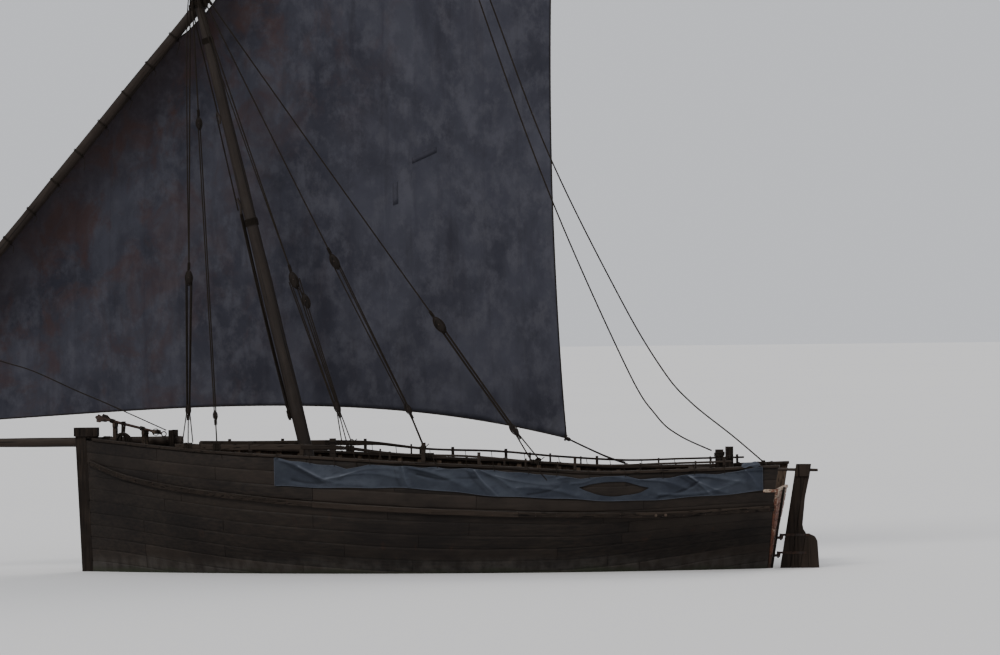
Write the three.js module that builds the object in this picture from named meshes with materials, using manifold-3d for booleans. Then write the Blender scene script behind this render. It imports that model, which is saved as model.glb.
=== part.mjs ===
// A wooden cargo dhow with one large lateen sail, at its real size in millimetres.
// +X points to the bow, +Y to port, +Z up. The origin is amidships on the centre line at the waterline.

import * as THREE from "three";
import { mergeVertices } from "three/addons/utils/BufferGeometryUtils.js";
import Module from "manifold-3d";

const wasm = await Module();
wasm.setup();

// Clearance between pieces that touch
const FIT = 0.4;

// Hull lines: the transom and the stem lean outward with height
const TRANSOM_FOOT_X = -7110;
const TRANSOM_RAKE = 0.165;
const STEM_RABBET_X = 7250;
const STEM_RAKE = 0.043;
const KEEL_TOP_Z = -1050;
const FULL_BEAM_Z = 2300;
const HULL_CUT_Z = 3300;
const HALF_BEAM = 2300;
const KEEL_HALF = 90;
const WIDEST_U = 0.47;
const BILGE_POWER = 2.6;
const BILGE_FULLNESS = 0.62;
const WALL = 120;
const FLOOR_THICKNESS = 170;
const HOLLOW_HALF = 90;

// Half width of the transom at each height: [z, y]
const TRANSOM_HALF = [
  [-1050, 90],
  [-300, 105],
  [130, 190],
  [350, 330],
  [630, 570],
  [1000, 960],
  [1240, 1230],
  [1450, 1390],
  [1680, 1490],
  [2300, 1560],
];

// Height of the bulwark's top along the hull: [x, z]
const BULWARK_TOP = [
  [-7600, 2130],
  [-6700, 2100],
  [-5200, 2060],
  [-3600, 2045],
  [-2000, 2150],
  [0, 2255],
  [1750, 2370],
  [4250, 2510],
  [7500, 2790],
];

// Height of the rubbing wale's middle: [x, z]
const WALE_LINE = [
  [-7600, 1300],
  [-5880, 1216],
  [-4500, 1180],
  [-1470, 1245],
  [840, 1365],
  [2470, 1480],
  [4120, 1650],
  [5250, 1790],
  [6370, 2000],
  [7300, 2300],
];
const WALE_HEIGHT = 120;
const WALE_PROUD = 75;

// Lower edge of the canvas weather cloth: [x, z]
const CLOTH_FOOT = [
  [-7300, 1720],
  [-6450, 1600],
  [-4600, 1500],
  [-2120, 1580],
  [-670, 1720],
  [780, 1795],
  [3100, 1840],
];
const CLOTH_FORE_X = 2980;
const CLOTH_AFT_X = -7080;
const CLOTH_THICKNESS = 45;
const CLOTH_STANDOFF = 15;

const GUNWALE_HEIGHT = 60;
const GUNWALE_OUT = 45;
const GUNWALE_IN = 50;

// Top rail above the gunwale: [x, height of its upper face]
const RAIL_TOP = [
  [-6450, 2290],
  [-5200, 2265],
  [-3900, 2240],
  [-2400, 2330],
  [-1100, 2450],
  [360, 2510],
  [1800, 2680],
  [4250, 2700],
  [5300, 2720],
];
const RAIL_AFT_X = -6450;
const RAIL_FORE_X = 5200;
const RAIL_WIDTH = 90;
const RAIL_DEEP_FORE = 120;
const RAIL_DEEP_AFT = 65;

// Stanchions under the top rail: [x, thickness]
const STANCHIONS = [
  [-6300, 70],
  [-5720, 70],
  [-4600, 70],
  [-3270, 90],
  [-2920, 70],
  [-2260, 70],
  [-1820, 70],
  [-1300, 110],
  [-150, 150],
  [550, 70],
  [750, 70],
  [1600, 90],
  [2400, 90],
  [3500, 90],
  [4600, 90],
];

const TRANSOM_TOP_Z = 1680;
const TRANSOM_SHARE = 0.0041;
const PLANK_START_SHARE = 0.00414;

const STEM_FORE = 240;
const STEM_HEAD_Z = 3050;
const STEM_HEAD_LENGTH = 500;
const STEM_HEAD_DROP = 250;
const KEEL_BOTTOM_Z = -1330;
const STERNPOST_DEPTH = 45;
const STERNPOST_HALF = 75;

// The planking's lengths, butted on the frames by the beams: [name, from x, to x]
const PLANK_LENGTHS = [
  ["quarter", -9000, -3440],
  ["waist", -3440, 440],
  ["shoulder", 440, 3860],
  ["bow", 3860, 9000],
];

const DECK_THICKNESS = 50;
const FOREDECK = { aftX: 3680, foreX: 6840, aftZ: 1970, foreZ: 2103 };
const AFT_DECK = { aftX: -7300, foreX: -3380, aftZ: 1400, foreZ: 1340 };
const HOLD_FLOOR = { aftX: -5400, foreX: 5300, aftZ: -570, foreZ: -570 };

// Beams across the hold: [name, x, top z, width, depth]
const BEAMS = [
  ["beam_fore", 3800, 1920, 240, 200],
  ["beam_mast", 2510, 1970, 560, 200],
  ["beam_middle", 500, 1640, 200, 180],
  ["beam_hold_aft", -1500, 1500, 200, 180],
  ["beam_aft", -3500, 1290, 240, 200],
];

// Mast: raked forward, stepped on the hold floor
const MAST_REFERENCE_X = 2729;
const MAST_REFERENCE_Z = 2829;
const MAST_RAKE = 0.2328;
const MAST_FOOT_Z = -560;
const MAST_HEAD_Z = 13200;
const MAST_RADII = [
  [-560, 150],
  [2500, 142],
  [8000, 122],
  [12200, 98],
  [13200, 78],
];
const MAST_STEP = { size: 620, height: 260 };
const HOUNDS_Z = 12280;
const HOUNDS_HEIGHT = 330;
const HOUNDS_R = 152;

const BOWSPRIT_Y = -250;
const BOWSPRIT_NOTCH_X = 6780;
const BOWSPRIT_Z = 2735;
const BOWSPRIT_AFT_X = 5350;
const BOWSPRIT_END_X = 12950;
const BOWSPRIT_AFT_R = 112;
const BOWSPRIT_END_R = 78;

// Yard: the line from the tack at the bowsprit's end past the mast is also the sail's swing axis
const YARD_TACK = new THREE.Vector3(12720, 15, 2735);
const YARD_AT_MAST = new THREE.Vector3(4910, -380, 12000);
const YARD_DIRECTION = YARD_AT_MAST.clone().sub(YARD_TACK).normalize();
const YARD_FOOT_S = -350;
const YARD_PEAK_S = 25250;
const LOWER_SPAR_END_S = 17200;
const UPPER_SPAR_START_S = 13200;
const UPPER_SPAR_OFFSET_START = 188;
const UPPER_SPAR_OFFSET_PEAK = 124;
const LASHINGS = [13600, 15200, 16800];
const LASHING_HALF = 130;
const LASHING_THICKNESS = 16;
const JOURNAL_R = 132;
const JOURNAL_HALF = 220;
const TACK_JOURNAL_R = 118;
const TACK_JOURNAL_HALF = 110;

// Sail: three corners, hollow foot and leech, belly to leeward
const SAIL_TACK_S = 520;
const SAIL_PEAK_S = 24900;
const SAIL_HEAD_GAP_AT_MAST = 215;
const SAIL_CLEW = new THREE.Vector3(-2640, -2000, 2700);
const FOOT_HOLLOW = 585;
// The foot is hollowest aft of its middle: the share along it is raised to this power
const FOOT_HOLLOW_POWER = 1.5;
const LEECH_HOLLOW = 500;
const SAIL_BELLY = 1250;
const SAIL_THICKNESS = 16;
const ROBANDS = [1200, 2800, 4400, 6000, 7600, 9200, 10800, 18500, 20100, 21700, 23300, 24700];
const ROBAND_R = 10;
const ROBAND_SEGMENTS = 10;
// Share of the sail's length at each column, closer together where the mast crosses
const SAIL_COLUMNS = [
  0.012, 0.06, 0.13, 0.21, 0.3, 0.38, 0.434, 0.474, 0.512, 0.58, 0.635, 0.689, 0.74, 0.82, 0.91, 1,
];
const SAIL_ROWS = 11;

// Shroud tackles on the windward side:
// [foot x, upper block z, lower block z, angle round the mast from the bow towards port]
const SHROUDS = [
  [4900, 6180, 3400, 30],
  [4250, 9430, 3300, 56],
  [1380, 6100, 3450, 100],
  [-280, 6470, 3400, 135],
  [-2450, 5130, 2960, 165],
];
const ROPE_R = 18;
const FALL_SPREAD = 34;

// Vangs: they start together beside the yard and run down to the port quarter, as points [x, y, z]
const VANG_START_S = 18850;
const VANG_BESIDE = 45;
const VANG_BELOW = 30;
const VANG_STEPS = 17;
const FORE_VANG = [
  [-1130, 80, 11940],
  [-2640, 620, 7810],
  [-4240, 1080, 4220],
  [-4860, 1210, 3220],
  [-5340, 1270, 2800],
  [-6150, 1328, 2420],
];
const AFT_VANG = [
  [-1360, 80, 11940],
  [-2620, 510, 8650],
  [-4130, 900, 5610],
  [-5000, 1090, 4150],
  [-5580, 1180, 3480],
  [-6470, 1270, 2760],
  [-7200, 1540, 2150],
];

// Rudder: its hinge line lies behind the transom and is parallel to it
const HINGE_BEHIND_TRANSOM = 120;
const RUDDER_GAP = 200;
const RUDDER_THICKNESS = 120;
const RUDDER_HEAD_THICKNESS = 190;
const PINTLE_R = 21.7;
const GUDGEON_HOLE_R = 22.5;
const GUDGEON_R = 42;
const GUDGEON_HEIGHT = 60;
const GUDGEON_HEIGHTS = [-780, 230, 600];
const TILLER_R = 30;
const TILLER_Z = 2035;
const TILLER_LENGTH = 2150;
const TILLER_TAIL = 550;

// Rudder outline aft of its fore edge, from the heel up to the head: [x, z]
const RUDDER_FOOT_Z = -1230;
const RUDDER_HEAD_Z = 2190;
const RUDDER_CHEEK_Z = 1905;
const RUDDER_AFT_EDGE = [
  [-7500, -1240],
  [-7900, -1020],
  [-8080, -560],
  [-8130, -120],
  [-8110, 200],
  [-8090, 550],
  [-8040, 650],
  [-7957, 695],
  [-7853, 721],
  [-7800, 800],
  [-7782, 900],
  [-7841, 1470],
  [-7940, 1920],
  [-7975, 2160],
];

// Anchor stowed on two rests on the foredeck, to port of the bowsprit: [name, x, half spread]
const ANCHOR_Y = 280;
const ANCHOR_FORE_X = 7090;
const ANCHOR_AFT_X = 5700;
const ANCHOR_FORE_Z = 3270;
const ANCHOR_SLOPE = 0.2556;
const ANCHOR_SHANK_R = 32;
const ANCHOR_RESTS = [
  ["anchor_rest_fore", 6700, 70],
  ["anchor_rest_aft", 6060, 160],
];
const ANCHOR_ARM_BEND = 430;
const ANCHOR_ARM_ANGLE = 1.05;
const ANCHOR_ARM_RADII = [34, 32, 30, 28, 14];
const ANCHOR_STOCK_HALF = 330;
const REST_POST = 70;

// Posts that stand on the decks
const QUARTER_BITT = { x: -6170, y: 1330, half: 80, top: 2506, pinZ: 2290, pinHalf: 260 };
const HEEL_BITTS = { x: 5560, spread: 210, post: 110, top: 2980 };

const RING_SEGMENTS = 16;
// Radius of a rope ring that lies close round a bar of the given radius
const ringAround = (barRadius, rope = ROPE_R, segments = RING_SEGMENTS) =>
  (barRadius + 0.8) / Math.cos(Math.PI / segments) + rope;

const wood = (color, roughness = 0.85) =>
  new THREE.MeshStandardMaterial({ color, roughness, metalness: 0 });
const MATERIALS = {
  planks: wood(0x2b211b),
  timber: wood(0x352820),
  transom: wood(0x5c3626),
  deck: wood(0x5a4a3c),
  spar: wood(0x3f3128, 0.75),
  rope: wood(0x6a5a44, 0.95),
  sail: wood(0x6b6a78, 0.95),
  cloth: wood(0x6f7c92, 0.9),
  iron: new THREE.MeshStandardMaterial({ color: 0x3b342f, roughness: 0.7, metalness: 0.6 }),
};

const vec = (x, y, z) => new THREE.Vector3(x, y, z);
const lerp = THREE.MathUtils.lerp;
const clamp = THREE.MathUtils.clamp;

// Straight lines through the rows [x, value] of a table
const straight = (rows) => (x) => {
  const inside = clamp(x, rows[0][0], rows[rows.length - 1][0]);
  const i = Math.max(rows.findIndex((row) => row[0] >= inside), 1) - 1;
  return lerp(rows[i][1], rows[i + 1][1], (inside - rows[i][0]) / (rows[i + 1][0] - rows[i][0]));
};

// A smooth function through the rows [x, value] of a table
function curve(rows) {
  const slope = rows.map((row, i) => {
    const a = rows[Math.max(i - 1, 0)];
    const b = rows[Math.min(i + 1, rows.length - 1)];
    return (b[1] - a[1]) / (b[0] - a[0]);
  });
  return (x) => {
    const inside = clamp(x, rows[0][0], rows[rows.length - 1][0]);
    const i = Math.max(rows.findIndex((row) => row[0] >= inside), 1) - 1;
    const step = rows[i + 1][0] - rows[i][0];
    const t = (inside - rows[i][0]) / step;
    const t2 = t * t;
    const t3 = t2 * t;
    return (
      (2 * t3 - 3 * t2 + 1) * rows[i][1] +
      (t3 - 2 * t2 + t) * step * slope[i] +
      (3 * t2 - 2 * t3) * rows[i + 1][1] +
      (t3 - t2) * step * slope[i + 1]
    );
  };
}

const transomHalf = curve(TRANSOM_HALF);
const bulwarkTop = curve(BULWARK_TOP);
const waleLine = curve(WALE_LINE);
const clothFoot = curve(CLOTH_FOOT);
const railTop = curve(RAIL_TOP);
const mastRadius = curve(MAST_RADII);

// A closed solid from a three.js geometry
function solid(geometry) {
  const bare = geometry.clone();
  bare.deleteAttribute("normal");
  bare.deleteAttribute("uv");
  const merged = mergeVertices(bare, 1e-3);
  const mesh = (triVerts) =>
    new wasm.Manifold(
      new wasm.Mesh({ numProp: 3, vertProperties: merged.attributes.position.array, triVerts }),
    );
  const triVerts = new Uint32Array(merged.index.array);
  const made = mesh(triVerts);
  if (made.volume() > 0) return made;
  for (let i = 0; i < triVerts.length; i += 3)
    [triVerts[i + 1], triVerts[i + 2]] = [triVerts[i + 2], triVerts[i + 1]];
  return mesh(triVerts);
}

// A solid through a row of closed loops, each with the same even number of points
function loft(loops) {
  const count = loops[0].length;
  const index = [];
  const quad = (a, b, c, d) => index.push(a, b, c, a, c, d);
  loops.slice(1).forEach((_, row) => {
    for (let i = 0; i < count; i++) {
      const next = (i + 1) % count;
      const here = row * count;
      const there = here + count;
      quad(here + i, here + next, there + next, there + i);
    }
  });
  const last = (loops.length - 1) * count;
  for (let i = 0; i < count / 2 - 1; i++) {
    quad(count - 1 - i, count - 2 - i, i + 1, i);
    quad(last + i, last + i + 1, last + count - 2 - i, last + count - 1 - i);
  }
  const geometry = new THREE.BufferGeometry().setFromPoints(loops.flat());
  geometry.setIndex(index);
  return solid(geometry);
}

const join = (solids) => solids.reduce((all, one) => all.add(one));

// A round bar or rope through the points, with one radius or a radius for each point
function bar(points, radius, sides = 8) {
  const loops = points.map((point, i) => {
    const before = points[Math.max(i - 1, 0)];
    const after = points[Math.min(i + 1, points.length - 1)];
    const along = after.clone().sub(before).normalize();
    const across = along.clone().cross(vec(0, 1, 0)).normalize();
    const up = across.clone().cross(along);
    const r = Array.isArray(radius) ? radius[i] : radius;
    return Array.from({ length: sides }, (_, k) => {
      const angle = (2 * Math.PI * (k + 0.5)) / sides;
      return point
        .clone()
        .addScaledVector(across, r * Math.cos(angle))
        .addScaledVector(up, r * Math.sin(angle));
    });
  });
  return loft(loops);
}

// A solid block with its sides along the axes
function block(x0, x1, y0, y1, z0, z1) {
  const geometry = new THREE.BoxGeometry(x1 - x0, y1 - y0, z1 - z0);
  geometry.translate((x0 + x1) / 2, (y0 + y1) / 2, (z0 + z1) / 2);
  return solid(geometry);
}

// A ring of rope or iron around a line through centre
function ring(centre, along, radius, thickness, segments = RING_SEGMENTS, sides = 6) {
  const geometry = new THREE.TorusGeometry(radius, thickness, sides, segments);
  const turn = new THREE.Quaternion().setFromUnitVectors(vec(0, 0, 1), along.clone().normalize());
  geometry.applyQuaternion(turn);
  geometry.translate(centre.x, centre.y, centre.z);
  return solid(geometry);
}

const transomX = (z) => TRANSOM_FOOT_X - TRANSOM_RAKE * z;
const rabbetX = (z) => STEM_RABBET_X + STEM_RAKE * z;
const hullX = (u, z) => lerp(transomX(z), rabbetX(z), u);
const hullShare = (x, z) => (x - transomX(z)) / (rabbetX(z) - transomX(z));

// Half breadth of the planking's outer face at share u of the length and height z
function halfBreadth(u, z) {
  const height = clamp((z - KEEL_TOP_Z) / (FULL_BEAM_Z - KEEL_TOP_Z), 0, 1);
  const bilge = (1 - (1 - height) ** BILGE_POWER) ** BILGE_FULLNESS;
  const widest = lerp(KEEL_HALF, HALF_BEAM, bilge);
  if (u >= WIDEST_U) {
    const fore = (Math.min(u, 1) - WIDEST_U) / (1 - WIDEST_U);
    return lerp(widest, KEEL_HALF, fore ** lerp(1.7, 3.0, height));
  }
  const aft = (WIDEST_U - Math.max(u, 0)) / WIDEST_U;
  return lerp(widest, transomHalf(z), aft ** lerp(1.9, 2.6, height));
}

// The lowest height at which the hull is wide enough to be hollow
function hollowFloor(u) {
  const start = KEEL_TOP_Z + FLOOR_THICKNESS;
  const step = 20;
  let z = start;
  while (halfBreadth(u, z) < WALL + HOLLOW_HALF && z < FULL_BEAM_Z) z += step;
  return z;
}

const OUTER_STATIONS = [
  0, TRANSOM_SHARE, PLANK_START_SHARE, 0.04, 0.09, 0.15, 0.22, 0.3, 0.38, 0.47,
  0.56, 0.64, 0.72, 0.79, 0.85, 0.9, 0.94, 0.97, 1,
];
const OUTER_LEVELS = [0, 0.015, 0.045, 0.09, 0.15, 0.23, 0.32, 0.42, 0.53, 0.65, 0.77, 1];
const INNER_STATIONS = [-0.02, ...OUTER_STATIONS.slice(0, -2), 0.967];
const INNER_LEVELS = [0, 0.04, 0.1, 0.18, 0.28, 0.4, 0.52, 0.64, 0.76, 1];

// The hull's outer form grown outward by proud, from station to station
function outerForm(proud, from = 0, to = 1) {
  const stations = [from, ...OUTER_STATIONS.filter((u) => u > from && u < to), to];
  return loft(
    stations.map((u) => {
      const port = OUTER_LEVELS.map((share) => {
        const z = lerp(KEEL_TOP_Z, HULL_CUT_Z, share);
        return vec(hullX(u, z), halfBreadth(u, z) + proud, z);
      });
      const starboard = port.map((p) => vec(p.x, -p.y, p.z)).reverse();
      return [...port, ...starboard];
    }),
  );
}

// The hollow inside the planking, made smaller by inset
function innerForm(inset = 0) {
  return loft(
    INNER_STATIONS.map((u) => {
      const floor = hollowFloor(Math.max(u, 0)) + inset;
      const port = INNER_LEVELS.map((share) => {
        const z = lerp(floor, HULL_CUT_Z + 100, share);
        return vec(hullX(u, z), halfBreadth(u, z) - WALL - inset, z);
      });
      const starboard = port.map((p) => vec(p.x, -p.y, p.z)).reverse();
      return [...port, ...starboard];
    }),
  );
}

// A slab right across the boat between two heights that vary along it
function slab(fromX, toX, lower, upper, steps = 24, half = 4000) {
  return loft(
    Array.from({ length: steps + 1 }, (_, i) => {
      const x = lerp(fromX, toX, i / steps);
      return [
        vec(x, half, lower(x)),
        vec(x, half, upper(x)),
        vec(x, -half, upper(x)),
        vec(x, -half, lower(x)),
      ];
    }),
  );
}

const DEEP = () => -3000;
const HIGH = () => 5000;
const SIDES = { port: 1, starboard: -1 };
const portHalf = block(-9000, 9000, FIT / 2, 5000, -4000, 6000);
const starboardHalf = block(-9000, 9000, -5000, -FIT / 2, -4000, 6000);
const sideHalf = (side) => (side === "port" ? portHalf : starboardHalf);

const model = new THREE.Group();

// Adds a finished solid to the model as a named mesh
function addPart(name, body, material) {
  const data = body.getMesh();
  const geometry = new THREE.BufferGeometry();
  geometry.setAttribute("position", new THREE.BufferAttribute(data.vertProperties, 3));
  geometry.setIndex(new THREE.BufferAttribute(data.triVerts, 1));
  geometry.computeVertexNormals();
  const mesh = new THREE.Mesh(geometry, material);
  mesh.name = name;
  model.add(mesh);
}

const hollow = innerForm();
const inside = innerForm(FIT);
const aboveBulwark = slab(-9000, 9000, bulwarkTop, HIGH, 60);

// Hull shell, transom and backbone
function addHull() {
  const shell = outerForm(0, PLANK_START_SHARE).subtract(hollow).subtract(aboveBulwark)
    .subtract(bowspritForm(FIT));
  for (const side of Object.keys(SIDES)) {
    const half = shell.intersect(sideHalf(side));
    for (const [name, aftX, foreX] of PLANK_LENGTHS) {
      const length = block(aftX, foreX - FIT, -4000, 4000, -4000, 6000);
      addPart(`planking_${side}_${name}`, half.intersect(length), MATERIALS.planks);
    }
  }

  const aboveTransom = block(-9000, -6000, -4000, 4000, TRANSOM_TOP_Z, 5000);
  const transom = outerForm(0, 0, TRANSOM_SHARE).subtract(aboveTransom);
  addPart("transom", transom, MATERIALS.transom);

  const keelEndX = rabbetX(KEEL_BOTTOM_Z);
  const keelAftX = transomX(KEEL_BOTTOM_Z);
  const keel = block(
    keelAftX, keelEndX - FIT, -KEEL_HALF, KEEL_HALF, KEEL_BOTTOM_Z, KEEL_TOP_Z - FIT,
  );
  addPart("keel", keel, MATERIALS.timber);

  const headZ = STEM_HEAD_Z - STEM_HEAD_DROP;
  const stemLoop = (z, aftX, foreX) => [
    vec(aftX, KEEL_HALF, z),
    vec(foreX, KEEL_HALF - 30, z),
    vec(foreX, -KEEL_HALF + 30, z),
    vec(aftX, -KEEL_HALF, z),
  ];
  const stemPost = loft([
    stemLoop(KEEL_BOTTOM_Z, rabbetX(KEEL_BOTTOM_Z) + FIT, rabbetX(KEEL_BOTTOM_Z) + 120),
    stemLoop(KEEL_BOTTOM_Z + 250, rabbetX(-1080) + FIT, rabbetX(-1080) + STEM_FORE),
    stemLoop(STEM_HEAD_Z - 10, rabbetX(STEM_HEAD_Z) + FIT, rabbetX(STEM_HEAD_Z) + STEM_FORE),
  ]);
  const headFore = rabbetX(STEM_HEAD_Z) + STEM_FORE + 10;
  const head = block(headFore - STEM_HEAD_LENGTH, headFore, -125, 125, headZ + 62, STEM_HEAD_Z);
  addPart("stem_post", stemPost.add(head), MATERIALS.timber);

  const postLoop = (z) => {
    const x = transomX(z) - FIT;
    return [
      vec(x, STERNPOST_HALF, z),
      vec(x - STERNPOST_DEPTH, STERNPOST_HALF - 15, z),
      vec(x - STERNPOST_DEPTH, -STERNPOST_HALF + 15, z),
      vec(x, -STERNPOST_HALF, z),
    ];
  };
  addPart("stern_post", loft([KEEL_BOTTOM_Z, TRANSOM_TOP_Z].map(postLoop)), MATERIALS.timber);
}

// Gunwale caps, wales and weather cloths, one of each on either side
function addSideBands() {
  const capBand = slab(
    -9000, 9000, (x) => bulwarkTop(x) + FIT, (x) => bulwarkTop(x) + GUNWALE_HEIGHT, 60,
  );
  const caps = outerForm(GUNWALE_OUT, 0, 0.995).subtract(innerForm(GUNWALE_IN)).intersect(capBand)
    .subtract(block(BOWSPRIT_NOTCH_X, 8000, -2000, 0, 2000, 4000));
  const waleBand = slab(
    -9000, 9000, (x) => waleLine(x) - WALE_HEIGHT / 2, (x) => waleLine(x) + WALE_HEIGHT / 2, 40,
  );
  const wales = outerForm(WALE_PROUD, 0, 0.998).subtract(outerForm(FIT, -0.02, 1.01))
    .intersect(waleBand);
  const clothBand = slab(-9000, 9000, clothFoot, (x) => bulwarkTop(x) - FIT, 60)
    .intersect(block(CLOTH_AFT_X, CLOTH_FORE_X, -4000, 4000, 0, 4000));
  const cloths = outerForm(CLOTH_STANDOFF + CLOTH_THICKNESS)
    .subtract(outerForm(CLOTH_STANDOFF, -0.02, 1.01))
    .intersect(clothBand);
  for (const side of Object.keys(SIDES)) {
    addPart("gunwale_" + side, caps.intersect(sideHalf(side)), MATERIALS.timber);
    addPart("wale_" + side, wales.intersect(sideHalf(side)), MATERIALS.timber);
    addPart("weather_cloth_" + side, cloths.intersect(sideHalf(side)), MATERIALS.cloth);
  }
}

const gunwaleTop = (x) => bulwarkTop(x) + GUNWALE_HEIGHT;
const railDepth = (x) => {
  const share = clamp((x - RAIL_AFT_X) / (RAIL_FORE_X - RAIL_AFT_X), 0, 1);
  return lerp(RAIL_DEEP_AFT, RAIL_DEEP_FORE, share);
};
const railCentre = (x, side) => {
  const z = railTop(x) - railDepth(x) / 2;
  return vec(x, SIDES[side] * (halfBreadth(hullShare(x, z), z) - WALL / 2), z);
};

// The top rail's beam, grown outward by extra
function railForm(side, extra = 0) {
  const steps = 26;
  return loft(
    Array.from({ length: steps + 1 }, (_, i) => {
      const x = lerp(RAIL_AFT_X, RAIL_FORE_X, i / steps);
      const centre = railCentre(x, side);
      const rise = railDepth(x) / 2 + extra;
      const out = RAIL_WIDTH / 2 + extra;
      return [
        vec(x, centre.y + out, centre.z - rise),
        vec(x, centre.y + out, centre.z + rise),
        vec(x, centre.y - out, centre.z + rise),
        vec(x, centre.y - out, centre.z - rise),
      ];
    }),
  );
}

// Top rails on their stanchions
function addTopRails() {
  const belowGunwale = slab(-9000, 9000, DEEP, (x) => gunwaleTop(x) + FIT, 60);
  for (const side of Object.keys(SIDES)) {
    const posts = STANCHIONS.map(([x, size]) => {
      const centre = railCentre(x, side);
      const half = size / 2;
      const deep = RAIL_WIDTH / 2 - 8;
      return block(
        x - half, x + half, centre.y - deep, centre.y + deep, gunwaleTop(x) - 40, centre.z,
      );
    });
    const rail = join([railForm(side), ...posts]).subtract(belowGunwale);
    addPart("top_rail_" + side, rail, MATERIALS.timber);
  }
}

// Decks, hold floor and beams, cut to the inside of the planking
function addDecks() {
  const deckSlab = ({ aftX, foreX, aftZ, foreZ }) => {
    const top = (x) => lerp(aftZ, foreZ, (x - aftX) / (foreX - aftX));
    return slab(aftX, foreX, (x) => top(x) - DECK_THICKNESS + FIT, top, 2);
  };
  const transomPanel = slab(-9000, -6800, DEEP, HIGH, 1).intersect(outerForm(200, -0.1, 0.0045));
  addPart("foredeck", deckSlab(FOREDECK).intersect(inside), MATERIALS.deck);
  addPart("aft_deck", deckSlab(AFT_DECK).intersect(inside).subtract(transomPanel), MATERIALS.deck);
  addPart("hold_floor", deckSlab(HOLD_FLOOR).intersect(inside), MATERIALS.deck);
  for (const [name, x, top, width, depth] of BEAMS) {
    const beam = block(x - width / 2, x + width / 2, -4000, 4000, top - depth, top - FIT);
    const fitted = beam.intersect(inside);
    addPart(name, name === "beam_mast" ? fitted.subtract(mastForm(FIT)) : fitted, MATERIALS.timber);
  }
}

const mastPoint = (z) => vec(MAST_REFERENCE_X + MAST_RAKE * (z - MAST_REFERENCE_Z), 0, z);

// The mast grown outward by extra
function mastForm(extra = 0) {
  const heights = [MAST_FOOT_Z - 80, ...MAST_RADII.slice(1).map((row) => row[0])];
  return bar(heights.map(mastPoint), heights.map((z) => mastRadius(z) + extra), 12);
}

function addMast() {
  addPart("hounds_collar", houndsForm().subtract(mastForm(FIT)), MATERIALS.rope);
  const base = HOLD_FLOOR.aftZ + FIT;
  const belowFoot = block(0, 4000, -1000, 1000, base - 1000, base);
  addPart("mast", mastForm().subtract(belowFoot), MATERIALS.spar);
  const foot = mastPoint(MAST_FOOT_Z);
  const half = MAST_STEP.size / 2;
  const stepBlock = block(foot.x - half, foot.x + half, -half, half, base, base + MAST_STEP.height);
  addPart("mast_step", stepBlock.subtract(mastForm(FIT)), MATERIALS.timber);
}

// The bowsprit grown outward by extra: it lies in a groove beside the stem head
function bowspritForm(extra = 0) {
  const ends = [BOWSPRIT_AFT_X, BOWSPRIT_END_X].map((x) => vec(x, BOWSPRIT_Y, BOWSPRIT_Z));
  return bar(ends, [BOWSPRIT_AFT_R + extra, BOWSPRIT_END_R + extra], 12);
}

function addBowsprit() {
  addPart("bowsprit", bowspritForm(), MATERIALS.spar);
  const ringX = YARD_TACK.x;
  const share = (ringX - BOWSPRIT_AFT_X) / (BOWSPRIT_END_X - BOWSPRIT_AFT_X);
  const spritR = ringAround(lerp(BOWSPRIT_AFT_R, BOWSPRIT_END_R, share));
  const yardR = ringAround(TACK_JOURNAL_R);
  const onSprit = vec(ringX, BOWSPRIT_Y, BOWSPRIT_Z);
  const lashing = join([
    ring(onSprit, vec(1, 0, 0), spritR, ROPE_R),
    ring(YARD_TACK, YARD_DIRECTION, yardR, ROPE_R),
  ]);
  addPart("tack_lashing", lashing, MATERIALS.rope);
}

const yardPoint = (s) => YARD_TACK.clone().addScaledVector(YARD_DIRECTION, s);
const MAST_CROSSING_S = YARD_AT_MAST.distanceTo(YARD_TACK);
// Across the yard in the sail's plane, pointing down towards the clew
const YARD_DOWN = SAIL_CLEW.clone().sub(YARD_TACK)
  .addScaledVector(YARD_DIRECTION, -SAIL_CLEW.clone().sub(YARD_TACK).dot(YARD_DIRECTION))
  .normalize();

const lowerSparRadius = curve([
  [YARD_FOOT_S, 92],
  [6000, 108],
  [MAST_CROSSING_S, 112],
  [LOWER_SPAR_END_S, 70],
]);
const upperSparRadius = curve([
  [UPPER_SPAR_START_S, 70],
  [18000, 88],
  [YARD_PEAK_S, 42],
]);

// The upper spar lies on top of the lower one and runs on straight to the peak
const upperSparOffset = (s) =>
  THREE.MathUtils.mapLinear(
    s, UPPER_SPAR_START_S, YARD_PEAK_S, UPPER_SPAR_OFFSET_START, UPPER_SPAR_OFFSET_PEAK,
  );

const upperSparPoint = (s) => yardPoint(s).addScaledVector(YARD_DOWN, -upperSparOffset(s));

// The outline of a lashing round both spars at s
function bandLoop(s) {
  const side = YARD_DIRECTION.clone().cross(YARD_DOWN).normalize();
  const arc = (centre, radius, from) =>
    Array.from({ length: 8 }, (_, i) => {
      const angle = from + (Math.PI * i) / 7;
      return centre.clone()
        .addScaledVector(side, radius * Math.cos(angle))
        .addScaledVector(YARD_DOWN, radius * Math.sin(angle));
    });
  return [
    ...arc(yardPoint(s), lowerSparRadius(s) + LASHING_THICKNESS, 0),
    ...arc(upperSparPoint(s), upperSparRadius(s) + LASHING_THICKNESS, Math.PI),
  ];
}

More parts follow.
